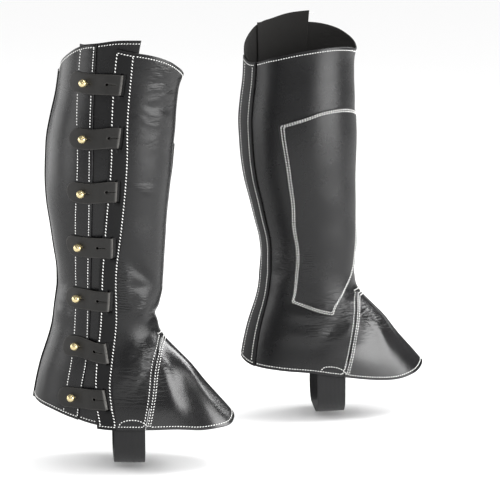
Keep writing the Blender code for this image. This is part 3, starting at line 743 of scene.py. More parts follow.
def vamp(chap, material):
    """Instep piece that spreads over the foot from the top of its seam to the hem."""
    nominal = nominal_rows()[1]
    half_gap = SEAM_GAP / 2
    lines = (seam_angle("outer", nominal, half_gap), seam_angle("inner", nominal, half_gap))
    angles, heights = panel_grid(nominal, lines, (spaced(110.0, 2.2, True, True),))
    heights[0] -= half_gap
    shell(chap, "instep", "vamp", (angles, heights), -WALL, 0.0, material)


def back_panel(chap, material):
    """Outer back: from the back seam to the edge that carries the studs."""
    nominal = all_rows()
    lines = (360.0 + BACK_SEAM_ANGLE - SEAM_GAP / 2, line_angle("panel", nominal))
    shares = (spaced(110.0, COLUMN_STEP, True, True),)
    grid = panel_grid(nominal, lines, shares, lift=BACK_HEM_LIFT)
    shell(chap, "back", "back_panel", grid, -WALL, 0.0, material)


def underlap(chap, material):
    """Flap under the opening, sewn behind the studs; its corner stands above the placket."""
    nominal = all_rows()
    lines = (line_angle("lap", nominal), line_angle("flap", nominal))
    shares = (spaced(60.0, COLUMN_STEP, True, True),)
    grid = panel_grid(nominal, lines, shares, UNDERLAP_RIM, BACK_HEM_LIFT)
    high = -WALL - LAYER_GAP
    shell(chap, "flap", "underlap", grid, high - STRIP, high, material)


def placket_band(chap, material):
    """Band on the placket edge of the leg panel, with the slots through it."""
    nominal = all_rows()
    lines = (line_angle("placket", nominal), line_angle("band", nominal))
    angles, heights = panel_grid(nominal, lines, (spaced(20.0, BAND_STEP, True, True),))
    keep = np.ones((len(nominal) - 1, angles.shape[1] - 1), bool)
    open_slots(chap, angles, heights, keep)
    shell(chap, "band", "placket_band", (angles, heights), LAYER_GAP, LAYER_GAP + STRIP,
          material, keep)


def back_strip(chap, material):
    """Strip that covers the back seam from rim to hem."""
    grid = panel_grid(all_rows(), STRIP_ANGLES, (spaced(34.0, 2.0, True, True),))
    shell(chap, "seam_strip", "back_strip", grid, LAYER_GAP, LAYER_GAP + STRIP, material)


def patch_grid(across, down):
    """Angles and heights on the calf patch: heights at a share of the way between its two ends,
    then angles at a share of the way between its two sides."""
    top = curve(PATCH_ENDS, PATCH_END_COLUMNS, "top", across)
    bottom = curve(PATCH_ENDS, PATCH_END_COLUMNS, "bottom", across)
    heights = top + (bottom - top) * down
    front = curve(PATCH_SIDES, PATCH_SIDE_COLUMNS, "front", heights)
    back = curve(PATCH_SIDES, PATCH_SIDE_COLUMNS, "back", heights)
    return front + (back - front) * across, heights


def calf_patch(chap, material):
    """Patch on the inner side, which narrows in a curve to its lower corner."""
    across = spaced(86.0, COLUMN_STEP, True, True)[None, :]
    down = spaced(230.0, ROW_STEP, True, True)[:, None]
    shell(chap, "patch", "calf_patch", patch_grid(across, down), PATCH_GAP,
          PATCH_GAP + STRIP, material)


def strap_path(count):
    """Middle line of the loop: down the outer side, round the arch and up, with its height."""
    turn = np.radians(np.linspace(0.0, 90.0, count))
    half_width = float(section("half_width", HEM_LEVEL)) - WALL - STRAP_GAP - ELASTIC
    corner_y = half_width - STRAP_CORNER * (1 - np.cos(turn))
    corner_height = STRAP_LOW + STRAP_CORNER * (1 - np.sin(turn))
    side_height = np.linspace(STRAP_TOP, corner_height[0], count + 1)[:-1]
    outer_y = np.concatenate([np.full(count, half_width), corner_y])
    outer_height = np.concatenate([side_height, corner_height])
    level = np.linspace(outer_y[-1], -outer_y[-1], count)[1:-1]
    y = np.concatenate([outer_y, level, -outer_y[::-1]])
    height = np.concatenate([outer_height, np.full(len(level), STRAP_LOW), outer_height[::-1]])
    return y, height


def foot_strap(chap, material):
    """Elastic strap under the foot's arch, as a ribbon carried along its loop."""
    y, height = strap_path(14)
    half_width = y.max()
    share = (half_width - y) / (2 * half_width)
    middle = STRAP_OUTER_X + (STRAP_INNER_X - STRAP_OUTER_X) * share
    across = (0.5 - spaced(STRAP_WIDTH, 2.0, True, True))[None, :] * STRAP_WIDTH
    x = middle[:, None] + across
    widest = float(section("widest", HEM_LEVEL))
    reach = float(section("front", HEM_LEVEL)) - widest
    taper = np.sqrt(1 - (np.maximum(x - widest, 0.0) / reach) ** 2)
    inner = posed(chap, x, chap["side"] * y[:, None] * taper, height[:, None] + 0 * x)
    normal = unit_normals(inner, chap["side"])
    edge = np.minimum(across + STRAP_WIDTH / 2, STRAP_WIDTH / 2 - across) + 0 * x
    sink = rounded(edge, 0.5)
    outer = inner + normal * ((ELASTIC - sink) * MM)[..., None]
    inner = inner + normal * (sink * MM)[..., None]
    run = np.concatenate([[0.0], np.cumsum(np.hypot(np.diff(y), np.diff(height)))])
    chart = np.stack([across * MM + 0 * x, run[:, None] * MM + 0 * x], axis=-1)
    keep = np.ones((x.shape[0] - 1, x.shape[1] - 1), bool)
    piece = two_faced(chap["name"] + "_elastic", outer, inner, keep, chap["side"] < 0, material,
                      {"inset": edge}, chart)
    sewn(chap["name"] + "_foot_strap")


def tab_frame(chap, tab):
    """Angles of a tab's slot and stud, and the distance between them."""
    slot = angle_of(tab["slot_x"], tab["slot_height"])
    stud = angle_of(tab["stud_x"], tab["stud_height"])
    ends = smooth_point(chap, np.array([slot, stud]), np.full(2, float(tab["slot_height"])))
    return slot, stud, float(np.linalg.norm(ends[1] - ends[0])) / MM


def tab_point(chap, tab, along, across, out):
    """Point of a tab: `along` mm from its slot towards the stud, `across` mm above its middle. Its
    angle changes evenly on the way, and its height eases from the slot's to the stud's."""
    slot, stud, length = tab_frame(chap, tab)
    share = along / length
    fall = tab["stud_height"] - tab["slot_height"]
    height = tab["slot_height"] + fall * smooth_step(share) + across
    return laid(chap, slot + (stud - slot) * share, height, out)


def facing(chap, tab, along):
    """Frame on the panel at a point of a tab: x along the tab, z straight out."""
    middle = Vector(tab_point(chap, tab, along, 0.0, 0.0))
    out = Vector(tab_point(chap, tab, along, 0.0, 1.0)) - middle
    ahead = Vector(tab_point(chap, tab, along + 1.0, 0.0, 0.0)) - middle
    out.normalize()
    across = out.cross(ahead).normalized()
    ahead = across.cross(out)
    rotation = Matrix((ahead, across, out)).transposed()
    return Matrix.Translation(middle) @ rotation.to_4x4()


def fold_line():
    """Middle line of a tab before its flat stretch, as distances along and out: a straight root in
    the slot, then a quarter of an ellipse."""
    turn = np.radians(np.linspace(0.0, 90.0, 7))
    root = np.array([(TAB_ROOT, out) for out in FOLD_ROOT])
    bend = np.stack([TAB_ROOT + FOLD_REACH * (1 - np.cos(turn)),
                     FOLD_START + FOLD_RISE * np.sin(turn)], axis=-1)
    return np.concatenate([root, bend])


def cell_middles(values):
    """Mean of a grid's values at the four corners of each of its cells."""
    return (values[:-1, :-1] + values[1:, 1:] + values[:-1, 1:] + values[1:, :-1]) / 4


def unit_normals(surface, side):
    """Unit directions across a grid of points, from the differences along its rows and columns."""
    normal = np.cross(np.gradient(surface, axis=0), np.gradient(surface, axis=1))
    return normal / np.linalg.norm(normal, axis=-1, keepdims=True) * side


def tab_piece(chap, number, tab, material):
    """Tab that comes up through its slot, folds back over the opening and lies on its stud.

    A ribbon along its middle line: half its width across, a round end, and half its thickness
    either way along its own normals. Each hole is the ring of grid points nearest it, moved onto
    the circle, with a slit a hair wide that runs from it towards the slot.
    """
    length = tab_frame(chap, tab)[2]
    end = length + tab["end"]
    half = TAB_WIDTH / 2
    on_band = LAYER_GAP + STRIP + LAYER_GAP + TAB / 2
    on_panel = LAYER_GAP + TAB / 2
    fold = fold_line()
    round_end = end - half + half * np.sin(np.radians(np.linspace(0.0, 84.0, 12)))
    flat = np.concatenate([np.arange(TAB_FLAT_FROM, end - half, TAB_STEP), round_end])
    start, stop = TAB_DESCENT
    descent = smooth_step((flat / length - start) / (stop - start))
    flat_out = on_band + (on_panel - on_band) * descent
    along = np.concatenate([fold[:, 0], flat])
    out = np.concatenate([fold[:, 1], flat_out])
    share = np.clip((along - (end - half)) / half, 0.0, 1.0)
    half_width = half * np.sqrt(1 - share**2)
    lane = np.concatenate([[-1.0, -0.985, -0.96, -0.92], np.linspace(-0.84, -0.06, 12),
                           [-SLIT_WIDTH / TAB_WIDTH]])
    lane = np.concatenate([lane, -lane[::-1]])
    across = lane[None, :] * half_width[:, None]
    inside_slit = np.abs(np.abs(lane) - SLIT_WIDTH / TAB_WIDTH) < 1e-6
    across = np.where(inside_slit[None, :], lane[None, :] * half, across)
    along = along[:, None] + 0 * across
    out = out[:, None] + 0 * across
    keep = np.ones((across.shape[0] - 1, across.shape[1] - 1), bool)
    slit_column = int(np.nonzero(inside_slit)[0][0])
    holes = ((length, HOLE_RADIUS, SLIT_LENGTHS[0]),
             (length - tab["spare_hole"], SPARE_HOLE_RADIUS, SLIT_LENGTHS[1]))
    for centre, radius, slit in holes:
        away = np.hypot(along - centre, across)
        near = np.abs(away - radius) < HOLE_CATCH
        scale = np.where(near, radius / np.maximum(away, 1e-6), 1.0)
        along = centre + (along - centre) * scale
        across = across * scale
        cell_along, cell_across = cell_middles(along), cell_middles(across)
        keep &= np.hypot(cell_along - centre, cell_across) > radius
        slit_cells = cell_along[:, slit_column]
        keep[(slit_cells < centre) & (slit_cells > centre - slit), slit_column] = False
    middle = tab_point(chap, tab, along, across, out)
    normal = unit_normals(middle, chap["side"])
    flat_points = middle.reshape(-1, 3) / MM
    starts, ends = border(keep)
    inset = distance_to(flat_points, flat_points[starts], flat_points[ends]).reshape(across.shape)
    half_thick = (TAB / 2 - rounded(inset, TAB_EDGE_RADIUS)) * MM
    outer = middle + normal * half_thick[..., None]
    inner = middle - normal * half_thick[..., None]
    chart = np.stack([along * MM, across * MM], axis=-1)
    name = "%s_tab_leather_%d" % (chap["name"], number)
    # Glossier along the fold, and painted lighter there as a highlight.
    burnish_and_highlight = np.exp(-((along - TAB_ROOT - BURNISH_HIGHLIGHT_AT) / BURNISH_HIGHLIGHT_WIDTH) ** 2)
    values = {"inset": inset, "crease_and_fold_highlight": np.where(out > 0, burnish_and_highlight, 0.0), "pleat": 0 * inset}
    piece = two_faced(name, outer, inner, keep, chap["side"] > 0, material, values, chart)
    sewn("%s_tab_%d" % (chap["name"], number))


def ring_corners(rings, sides):
    """Numbers of each ring's points but the last ring's, and of the next point round the ring."""
    starts = np.arange(rings - 1)[:, None] * sides
    return starts + np.arange(sides)[None], starts + (np.arange(sides) + 1) % sides


def ball_stud(chap, number, tab, material):
    """Ball stud: its profile turned about the direction straight out of the panel."""
    radii, outs = np.array(BALL_PROFILE).T * MM
    turn = np.linspace(0.0, 2 * math.pi, BALL_SIDES, endpoint=False)
    ring = np.stack([np.cos(turn), np.sin(turn)], axis=-1)
    local = np.concatenate([ring[None] * radii[:, None, None],
                            np.broadcast_to(outs[:, None, None], (len(radii), BALL_SIDES, 1))],
                           axis=-1)
    turned = np.array(facing(chap, tab, tab_frame(chap, tab)[2]))
    points = local.reshape(-1, 3) @ turned[:3, :3].T + turned[:3, 3]
    first, second = ring_corners(len(radii), BALL_SIDES)
    quads = np.stack([first, first + BALL_SIDES, second + BALL_SIDES, second], axis=-1)
    quads = quads.reshape(-1, 4)
    name = "%s_ball_stud_%d" % (chap["name"], number)
    piece = put_mesh(name, points, quads, material)
    close_poles(piece)
    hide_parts("%s_stud_%d" % (chap["name"], number))


def close_poles(piece):
    """Merges the rings of no width at a turned shape's two ends and turns its faces outwards."""
    shape = bmesh.new()
    shape.from_mesh(piece.data)
    bmesh.ops.remove_doubles(shape, verts=shape.verts, dist=0.00001)
    bmesh.ops.recalc_face_normals(shape, faces=shape.faces)
    shape.to_mesh(piece.data)
    shape.free()


def stitch_run(chap, angles, heights, out, slant=0.0, thread=FINE_THREAD):
    """Middles, directions and normals of equal stitches along a path laid on the leather, and
    their half length and radius."""
    pitch, length, radius = thread
    angles, heights = np.broadcast_arrays(np.asarray(angles, float), np.asarray(heights, float))
    path = laid(chap, angles, heights, out) / MM
    run = np.concatenate([[0.0], np.cumsum(np.linalg.norm(np.diff(path, axis=0), axis=1))])
    count = max(1, round(run[-1] / pitch))
    at = (np.arange(count) + 0.5) / count * run[-1]
    half = length * 0.3
    spots = [laid(chap, np.interp(place, run, angles), np.interp(place, run, heights), out)
             for place in (np.maximum(at - half, 0), at, np.minimum(at + half, run[-1]))]
    away = outward(outside, chap, np.interp(at, run, angles), np.interp(at, run, heights))
    ahead = spots[2] - spots[0]
    ahead = ahead / np.linalg.norm(ahead, axis=1, keepdims=True)
    aside = np.cross(away, ahead)
    turn = math.radians(slant)
    ahead = ahead * math.cos(turn) + aside * math.sin(turn)
    sizes = np.broadcast_to([length / 2, radius, 0.0], spots[1].shape)
    return np.stack([spots[1], ahead, away, sizes], axis=1)


def under_a_tab(chap, angles, heights):
    """True where a point of the outer side lies under one of the tabs."""
    covered = np.zeros(angles.shape, bool)
    for tab in named_rows(TAB_COLUMNS, TABS):
        slot, stud_angle, length = tab_frame(chap, tab)
        along = (angles - slot) / (stud_angle - slot) * length
        fall = tab["stud_height"] - tab["slot_height"]
        across = heights - tab["slot_height"] - fall * smooth_step(along / length)
        reach = np.where(along > -1.0, TAB_WIDTH / 2 + 0.6, SLOT_HEIGHT / 2 + 1.0)
        beside = (along > -SLOT_WIDTH - 0.6) & (along < length + tab["end"] - 1.5)
        covered |= beside & (np.abs(across) < reach)
    return covered


def open_runs(chap, angles, heights, out, slant, thread):
    """Stitches of a path down the outer side, except where the tabs and their slots lie."""
    covered = under_a_tab(chap, angles, heights)
    runs = []
    marks = np.flatnonzero(np.diff(np.concatenate([[1], covered.astype(int), [1]])))
    for first, last in zip(marks[::2], marks[1::2]):
        if last - first > 3:
            part = slice(first, last)
            runs.append(stitch_run(chap, angles[part], heights[part], out, slant, thread))
    return runs


def down_rows(chap):
    """Rows down the outer side: both of the band's and both of the stud edge's."""
    heights = np.arange(468.0, 44.0, -0.8)
    runs = []
    for column, out, slant, lift, thread in DOWN_ROWS:
        angles = angle_of(curve(STITCH_ROWS, ROW_COLUMNS, column, heights), heights)
        top = rim_height(angles, TOP_RIM, -RIM_INSET)
        low = rim_height(angles, HEM_RIM, HEM_INSET + lift)
        inside = (heights < top) & (heights > low)
        if column == "band":
            runs.append(stitch_run(chap, angles[inside], heights[inside], out, slant, thread))
        else:
            runs += open_runs(chap, angles[inside], heights[inside], out, slant, thread)
    return runs


def round_rows(chap):
    """Rows along the rim and the hem, each piece's own stretch at its own depth."""
    band_top, placket_top, panel_top, band_hem, placket_hem, panel_hem = (
        float(line_angle(*place)) for place in (BAND_TOP, PLACKET_TOP, PANEL_TOP, BAND_HEM,
                                                PLACKET_HEM, PANEL_HEM))
    outer_seam, inner_seam = (float(seam_angle(side, HEM_LEVEL, -1.5))
                              for side in ("outer", "inner"))
    over, under = LAYER_GAP + STRIP, -WALL - LAYER_GAP
    stretches_round = (
        (placket_top, band_top, TOP_RIM, -RIM_INSET, over),
        (band_top - 1.0, STRIP_ANGLES[0] + 1.0, TOP_RIM, -RIM_INSET, 0.0),
        (STRIP_ANGLES[0] - 2.0, STRIP_ANGLES[1] + 2.0, TOP_RIM, -RIM_INSET, over),
        (panel_top, 178.0, TOP_RIM, -RIM_INSET, 0.0),
        (panel_top - 2.0, 68.0, UNDERLAP_RIM, -RIM_INSET, under),
        (panel_hem - 1.5, placket_hem + 2.0, HEM_RIM, HEM_INSET + BACK_HEM_LIFT, under),
        (placket_hem, band_hem, HEM_RIM, HEM_INSET, over),
        (band_hem - 1.0, outer_seam, HEM_RIM, HEM_INSET, 0.0),
        (outer_seam - 4.0, inner_seam + 4.0, HEM_RIM, HEM_INSET, 0.0),
        (inner_seam, STRIP_ANGLES[0] + 1.0, HEM_RIM, HEM_INSET, 0.0),
        (STRIP_ANGLES[0] - 2.0, STRIP_ANGLES[1] + 2.0, HEM_RIM, HEM_INSET, over),
        (panel_hem, 178.0, HEM_RIM, HEM_INSET + BACK_HEM_LIFT, 0.0),
    )
    runs = []
    for start, end, rim, shift, out in stretches_round:
        angles = np.linspace(start, end, RIM_POINTS)
        runs.append(stitch_run(chap, angles, rim_height(angles, rim, shift), out, ROUND_SLANT))
    return runs


def strip_rows(chap):
    """Two rows down the strip over the back seam, close to its edges."""
    runs = []
    for angle in (STRIP_ANGLES[0] - STRIP_ROW_INSETS[0], STRIP_ANGLES[1] + STRIP_ROW_INSETS[1]):
        top = float(rim_height(angle, TOP_RIM, -RIM_INSET - 2.0))
        low = float(rim_height(angle, HEM_RIM, HEM_INSET + 2.0))
        angles = np.full(STRIP_POINTS, angle)
        heights = np.linspace(top, low, STRIP_POINTS)
        runs.append(stitch_run(chap, angles, heights, LAYER_GAP + STRIP, ROUND_SLANT))
    return runs


def seam_rows(chap):
    """Rows beside the instep seam: one on the leg, two on the instep, each up, over and down."""
    runs = []
    for shift, slant in SEAM_ROWS:
        top = INSTEP_TOP - shift
        heights = np.linspace(HEM_LEVEL, top, SEAM_POINTS)
        real = HEM_INSET + 1.0
        outer = seam_angle("outer", np.minimum(heights, INSTEP_TOP - 0.01), shift)
        inner = seam_angle("inner", np.minimum(heights, INSTEP_TOP - 0.01), shift)
        low = np.maximum(heights, rim_height(outer, HEM_RIM, real))
        low_inner = np.maximum(heights, rim_height(inner, HEM_RIM, real))
        over = np.linspace(outer[-1], inner[-1], SEAM_TOP_POINTS)
        angles = np.concatenate([outer, over[1:-1], inner[::-1]])
        path = np.concatenate([low, np.full(SEAM_TOP_POINTS - 2, top), low_inner[::-1]])
        runs.append(stitch_run(chap, angles, path, 0.0, slant))
    return runs


def patch_rows(chap):
    """Two rows round the patch, side by side inside its edge."""
    runs = []
    count = PATCH_ROW_POINTS
    for inset in PATCH_ROW_INSETS:
        across, down = inset / PATCH_ACROSS, inset / PATCH_DOWN
        line = np.linspace(0.0, 1.0, count)
        u = np.concatenate([across + (1 - 2 * across) * line, np.full(count, 1 - across),
                            1 - across - (1 - 2 * across) * line, np.full(count, across)])
        v = np.concatenate([np.full(count, down), down + (1 - 2 * down) * line,
                            np.full(count, 1 - down), 1 - down - (1 - 2 * down) * line])
        angles, heights = patch_grid(u, v)
        for start in range(0, 4 * count, count):
            side = slice(start, start + count)
            runs.append(stitch_run(chap, angles[side], heights[side], PATCH_GAP + STRIP,
                                   PATCH_ROW_SLANT))
    return runs


def strap_rows(chap):
    """Half moons that hold the elastic strap: half a turn above the hem on each side, its cosine
    along the hem and its sine up from it."""
    runs = []
    for centre, side in ((STRAP_OUTER_X + 3.5, 1.0), (STRAP_INNER_X + 2.0, -1.0)):
        turn = np.linspace(0.0, math.pi, MOON_POINTS)
        x = centre - MOON_HALF_WIDTH * np.cos(turn)
        angles = side * angle_of(x, np.full(MOON_POINTS, HEM_LEVEL + 6.0))
        heights = rim_height(angles, HEM_RIM, HEM_INSET + 1.2) + MOON_HEIGHT * np.sin(turn)
        runs.append(stitch_run(chap, angles, heights, 0.0, 0.0))
    return runs


def stitching(chap, material):
    """All stitches of a chap as one mesh: rings of a short thread that dives in at both ends."""
    runs = down_rows(chap) + round_rows(chap) + strip_rows(chap) + seam_rows(chap)
    runs += patch_rows(chap) + strap_rows(chap)
    places = np.concatenate(runs)
    middle, ahead, away, sizes = places[:, 0], places[:, 1], places[:, 2], places[:, 3]
    aside = np.cross(away, ahead)
    rng = np.random.default_rng(STITCH_SEEDS[chap["name"]])
    size = 1.0 + STITCH_SPREAD * rng.standard_normal(len(places))
    length, radius, lift = np.array(STITCH_SHAPE).T
    turn = np.linspace(0.0, 2 * math.pi, STITCH_SIDES, endpoint=False) + math.pi / STITCH_SIDES
    thread = sizes[:, 1] * MM * size
    along = length[None, :] * sizes[:, :1] * MM
    rings = (middle[:, None, None] + ahead[:, None, None] * along[..., None, None]
             + away[:, None, None] * (lift[None, :] * thread[:, None])[..., None, None])
    spoke = (aside[:, None, None] * np.cos(turn)[None, None, :, None]
             + away[:, None, None] * np.sin(turn)[None, None, :, None])
    points = rings + spoke * (radius[None, :] * thread[:, None])[..., None, None]
    ring_count = len(length)
    size_each = ring_count * STITCH_SIDES
    first, second = ring_corners(ring_count, STITCH_SIDES)
    walls = np.stack([first, second, second + STITCH_SIDES, first + STITCH_SIDES], axis=-1)
    walls = walls.reshape(-1, 4)
    last = size_each - STITCH_SIDES
    caps = np.array([(0, 3, 2, 1), (0, 5, 4, 3), (last, last + 1, last + 2, last + 3),
                     (last, last + 3, last + 4, last + 5)])
    one = np.concatenate([walls, caps])
    quads = (one[None] + (np.arange(len(places)) * size_each)[:, None, None]).reshape(-1, 4)
    piece = put_mesh(chap["name"] + "_stitching", points.reshape(-1, 3), quads, material)


def add_node(tree, kind, **settings):
    """A new node with its settings."""
    made = tree.nodes.new(kind)
    for key, value in settings.items():
        setattr(made, key, value)
    return made


def new_group(name, inputs, outputs):
    """An empty shader node group with named sockets, and its input and output nodes."""
    group = bpy.data.node_groups.new(name, "ShaderNodeTree")
    for label, kind, value in inputs:
        socket = group.interface.new_socket(name=label, in_out="INPUT", socket_type=kind)
        if value is not None:
            socket.default_value = value
    for label, kind in outputs:
        group.interface.new_socket(name=label, in_out="OUTPUT", socket_type=kind)
    return group, add_node(group, "NodeGroupInput"), add_node(group, "NodeGroupOutput")


def maths(tree, operation, first, second=None, third=None, clamp=False):
    """A Math node's result; each operand is a socket or a number."""
    made = add_node(tree, "ShaderNodeMath", operation=operation, use_clamp=clamp)
    for index, value in enumerate((first, second, third)):
        if value is None:
            continue
        if isinstance(value, (int, float)):
            made.inputs[index].default_value = value
        else:
            tree.links.new(value, made.inputs[index])
    return made.outputs[0]


def noise(tree, vector, scale, detail=3.0, roughness=0.5):
    """A noise's value, 0 to 1."""
    made = add_node(tree, "ShaderNodeTexNoise")
    made.inputs["Scale"].default_value = scale
    made.inputs["Detail"].default_value = detail
    made.inputs["Roughness"].default_value = roughness
    tree.links.new(vector, made.inputs["Vector"])
    return made.outputs["Fac"]


def stretched(tree, vector, scale):
    """A vector scaled along its axes."""
    made = add_node(tree, "ShaderNodeMapping")
    made.inputs["Scale"].default_value = scale
    tree.links.new(vector, made.inputs["Vector"])
    return made.outputs["Vector"]


def grain_group():
    """Leather's pores and fine folds: cells of about a millimetre, and soft hide marks."""
    group, inside, out = new_group(
        "leather_grain", (("Place", "NodeSocketVector", None), ("Depth", "NodeSocketFloat", 0.05)),
        (("Height", "NodeSocketFloat"), ("Tone", "NodeSocketFloat")))
    place = inside.outputs["Place"]
    cells = add_node(group, "ShaderNodeTexVoronoi", feature="DISTANCE_TO_EDGE")
    cells.inputs["Scale"].default_value = 780.0
    warp = add_node(group, "ShaderNodeTexNoise")
    warp.inputs["Scale"].default_value = 420.0
    group.links.new(place, warp.inputs["Vector"])
    moved = add_node(group, "ShaderNodeVectorMath", operation="MULTIPLY_ADD")
    moved.inputs[1].default_value = (0.0011, 0.0011, 0.0011)
    group.links.new(warp.outputs["Color"], moved.inputs[0])
    group.links.new(place, moved.inputs[2])
    group.links.new(moved.outputs[0], cells.inputs["Vector"])
    valley = maths(group, "MINIMUM", maths(group, "MULTIPLY", cells.outputs["Distance"], 5.0), 1.0)
    broad = noise(group, place, 60.0, 4.0)
    height = maths(group, "MULTIPLY", valley, inside.outputs["Depth"])
    group.links.new(maths(group, "ADD", height, maths(group, "MULTIPLY", broad, 0.22)),
                    out.inputs["Height"])
    group.links.new(noise(group, place, 26.0, 5.0, 0.6), out.inputs["Tone"])
    return group


def crumple_group():
    """Wrinkles that run round the leg: two sharp-sided noises, drawn out sideways, in a mask. Fine
    pleats are added where their own mask is: a sine up the leg whose phase drifts with a noise."""
    group, inside, out = new_group(
        "wrinkles", (("Chart", "NodeSocketVector", None), ("Mask", "NodeSocketFloat", 0.0),
                     ("Pleats", "NodeSocketFloat", 0.0)),
        (("Height", "NodeSocketFloat"),))
    total = None
    for scale, share, stretch in ((120.0, 2.1, (0.34, 1.0, 1.0)), (300.0, 0.7, (0.4, 1.0, 1.0))):
        folds = noise(group, stretched(group, inside.outputs["Chart"], stretch), scale, 2.0)
        ridge = maths(group, "ABSOLUTE", maths(group, "SUBTRACT", folds, 0.5))
        ridge = maths(group, "MULTIPLY", maths(group, "SQRT", ridge), share)
        total = ridge if total is None else maths(group, "ADD", total, ridge)
    total = maths(group, "MULTIPLY", total, inside.outputs["Mask"])
    axes = add_node(group, "ShaderNodeSeparateXYZ")
    group.links.new(inside.outputs["Chart"], axes.inputs[0])
    drift = noise(group, inside.outputs["Chart"], 70.0, 2.0)
    phase = maths(group, "MULTIPLY_ADD", axes.outputs["Y"], 2 * math.pi / PLEAT_PITCH,
                  maths(group, "MULTIPLY", drift, 14.0))
    pleats = maths(group, "MULTIPLY", maths(group, "SINE", phase), inside.outputs["Pleats"])
    group.links.new(maths(group, "MULTIPLY_ADD", pleats, 0.13, total), out.inputs["Height"])
    return group


def edge_group():
    """Marks at a piece's cut edge from the distance to it in millimetres: the raw edge, the band
    that handling has worn and the line pressed beside it."""
    group, inside, out = new_group(
        "cut_edge", (("Inset", "NodeSocketFloat", 9.0), ("Place", "NodeSocketVector", None)),
        (("Raw", "NodeSocketFloat"), ("Worn", "NodeSocketFloat"), ("Line", "NodeSocketFloat")))
    inset = inside.outputs["Inset"]
    raw = maths(group, "SUBTRACT", 1.0, maths(group, "MULTIPLY", inset, 2.2), clamp=True)
    patchy = noise(group, inside.outputs["Place"], 90.0, 4.0)
    worn = maths(group, "SUBTRACT", 1.0, maths(group, "MULTIPLY", inset, 0.7), clamp=True)
    worn = maths(group, "MULTIPLY", worn, maths(group, "GREATER_THAN", patchy, 0.48))
    away = maths(group, "ABSOLUTE", maths(group, "SUBTRACT", inset, 1.7))
    line = maths(group, "SUBTRACT", 1.0, maths(group, "MULTIPLY", away, 2.6), clamp=True)
    for label, value in (("Raw", raw), ("Worn", worn), ("Line", line)):
        group.links.new(value, out.inputs[label])
    return group


def named_value(tree, name):
    """A value that the mesh keeps at its points."""
    made = add_node(tree, "ShaderNodeAttribute", attribute_name=name)
    return made.outputs["Fac"]


def mixed(tree, share, first, second):
    """A colour mix; each side is a colour or a socket."""
    made = add_node(tree, "ShaderNodeMix", data_type="RGBA")
    tree.links.new(share, made.inputs["Factor"])
    for value, socket in ((first, made.inputs[6]), (second, made.inputs[7])):
        if isinstance(value, tuple):
            socket.default_value = (*value, 1.0)
        else:
            tree.links.new(value, socket)
    return made.outputs[2]


def material_base(name):
    """A new material, its nodes and its shader."""
    material = bpy.data.materials.new(name)
    material.use_nodes = True
    return material, material.node_tree, material.node_tree.nodes["Principled BSDF"]


def bumped(tree, shader, height, distance=MM):
    """Bump on a shader from heights in millimetres."""
    bump = add_node(tree, "ShaderNodeBump")
    bump.inputs["Distance"].default_value = distance
    bump.inputs["Strength"].default_value = 1.0
    tree.links.new(height, bump.inputs["Height"])
    tree.links.new(bump.outputs["Normal"], shader.inputs["Normal"])


def leather_finish(groups, name, colours, roughness, grain, line_depth, gloss, specular, rubbed):
    """Dyed leather: grain, wrinkles, a raw edge with a pressed line, and a suede inside. Where it
    is wrinkled it is painted lighter and glossier; on a tab's fold that is a painted highlight."""
    material, tree, shader = material_base(name)
    place = add_node(tree, "ShaderNodeTexCoord").outputs["Object"]
    chart = add_node(tree, "ShaderNodeUVMap", uv_map="surface").outputs["UV"]
    inset, flesh, crease_tint_and_highlight_mask = (named_value(tree, key) for key in ("inset", "flesh", "crease_and_fold_highlight"))
    hide = add_node(tree, "ShaderNodeGroup", node_tree=groups["grain"])
    hide.inputs["Depth"].default_value = grain
    tree.links.new(place, hide.inputs["Place"])
    folds = add_node(tree, "ShaderNodeGroup", node_tree=groups["wrinkles"])
    tree.links.new(chart, folds.inputs["Chart"])
    tree.links.new(crease_tint_and_highlight_mask, folds.inputs["Mask"])
    tree.links.new(named_value(tree, "pleat"), folds.inputs["Pleats"])
    edge = add_node(tree, "ShaderNodeGroup", node_tree=groups["edge"])
    tree.links.new(inset, edge.inputs["Inset"])
    tree.links.new(place, edge.inputs["Place"])
    dark, light, raw, suede = colours
    colour = mixed(tree, hide.outputs["Tone"], dark, light)
    # Lighter where wrinkled; on a tab's fold this lighter colour is a painted highlight.
    colour = mixed(tree, crease_tint_and_highlight_mask, colour, rubbed)
    colour = mixed(tree, edge.outputs["Worn"], colour, tuple(1.7 * part for part in light))
    colour = mixed(tree, edge.outputs["Raw"], colour, raw)
    nap = noise(tree, place, 900.0, 3.0, 0.7)
    flesh_colour = mixed(tree, nap, suede, tuple(0.55 * part for part in suede))
    colour = mixed(tree, flesh, colour, flesh_colour)
    tree.links.new(colour, shader.inputs["Base Color"])
    rough = maths(tree, "ADD", maths(tree, "MULTIPLY", hide.outputs["Tone"], 0.12), roughness)
    rough = maths(tree, "SUBTRACT", rough, maths(tree, "MULTIPLY", crease_tint_and_highlight_mask, gloss))
    rough = maths(tree, "ADD", rough, maths(tree, "MULTIPLY", edge.outputs["Raw"], 0.12))
    rough = maths(tree, "MAXIMUM", rough, maths(tree, "MULTIPLY", flesh, 0.92))
    tree.links.new(rough, shader.inputs["Roughness"])
    height = maths(tree, "ADD", hide.outputs["Height"], folds.outputs["Height"])
    height = maths(tree, "SUBTRACT", height,
                   maths(tree, "MULTIPLY", edge.outputs["Line"], line_depth))
    height = maths(tree, "ADD", height,
                   maths(tree, "MULTIPLY", maths(tree, "MULTIPLY", nap, 0.25), flesh))
    bumped(tree, shader, height)
    shader.inputs["Specular IOR Level"].default_value = specular
    return material


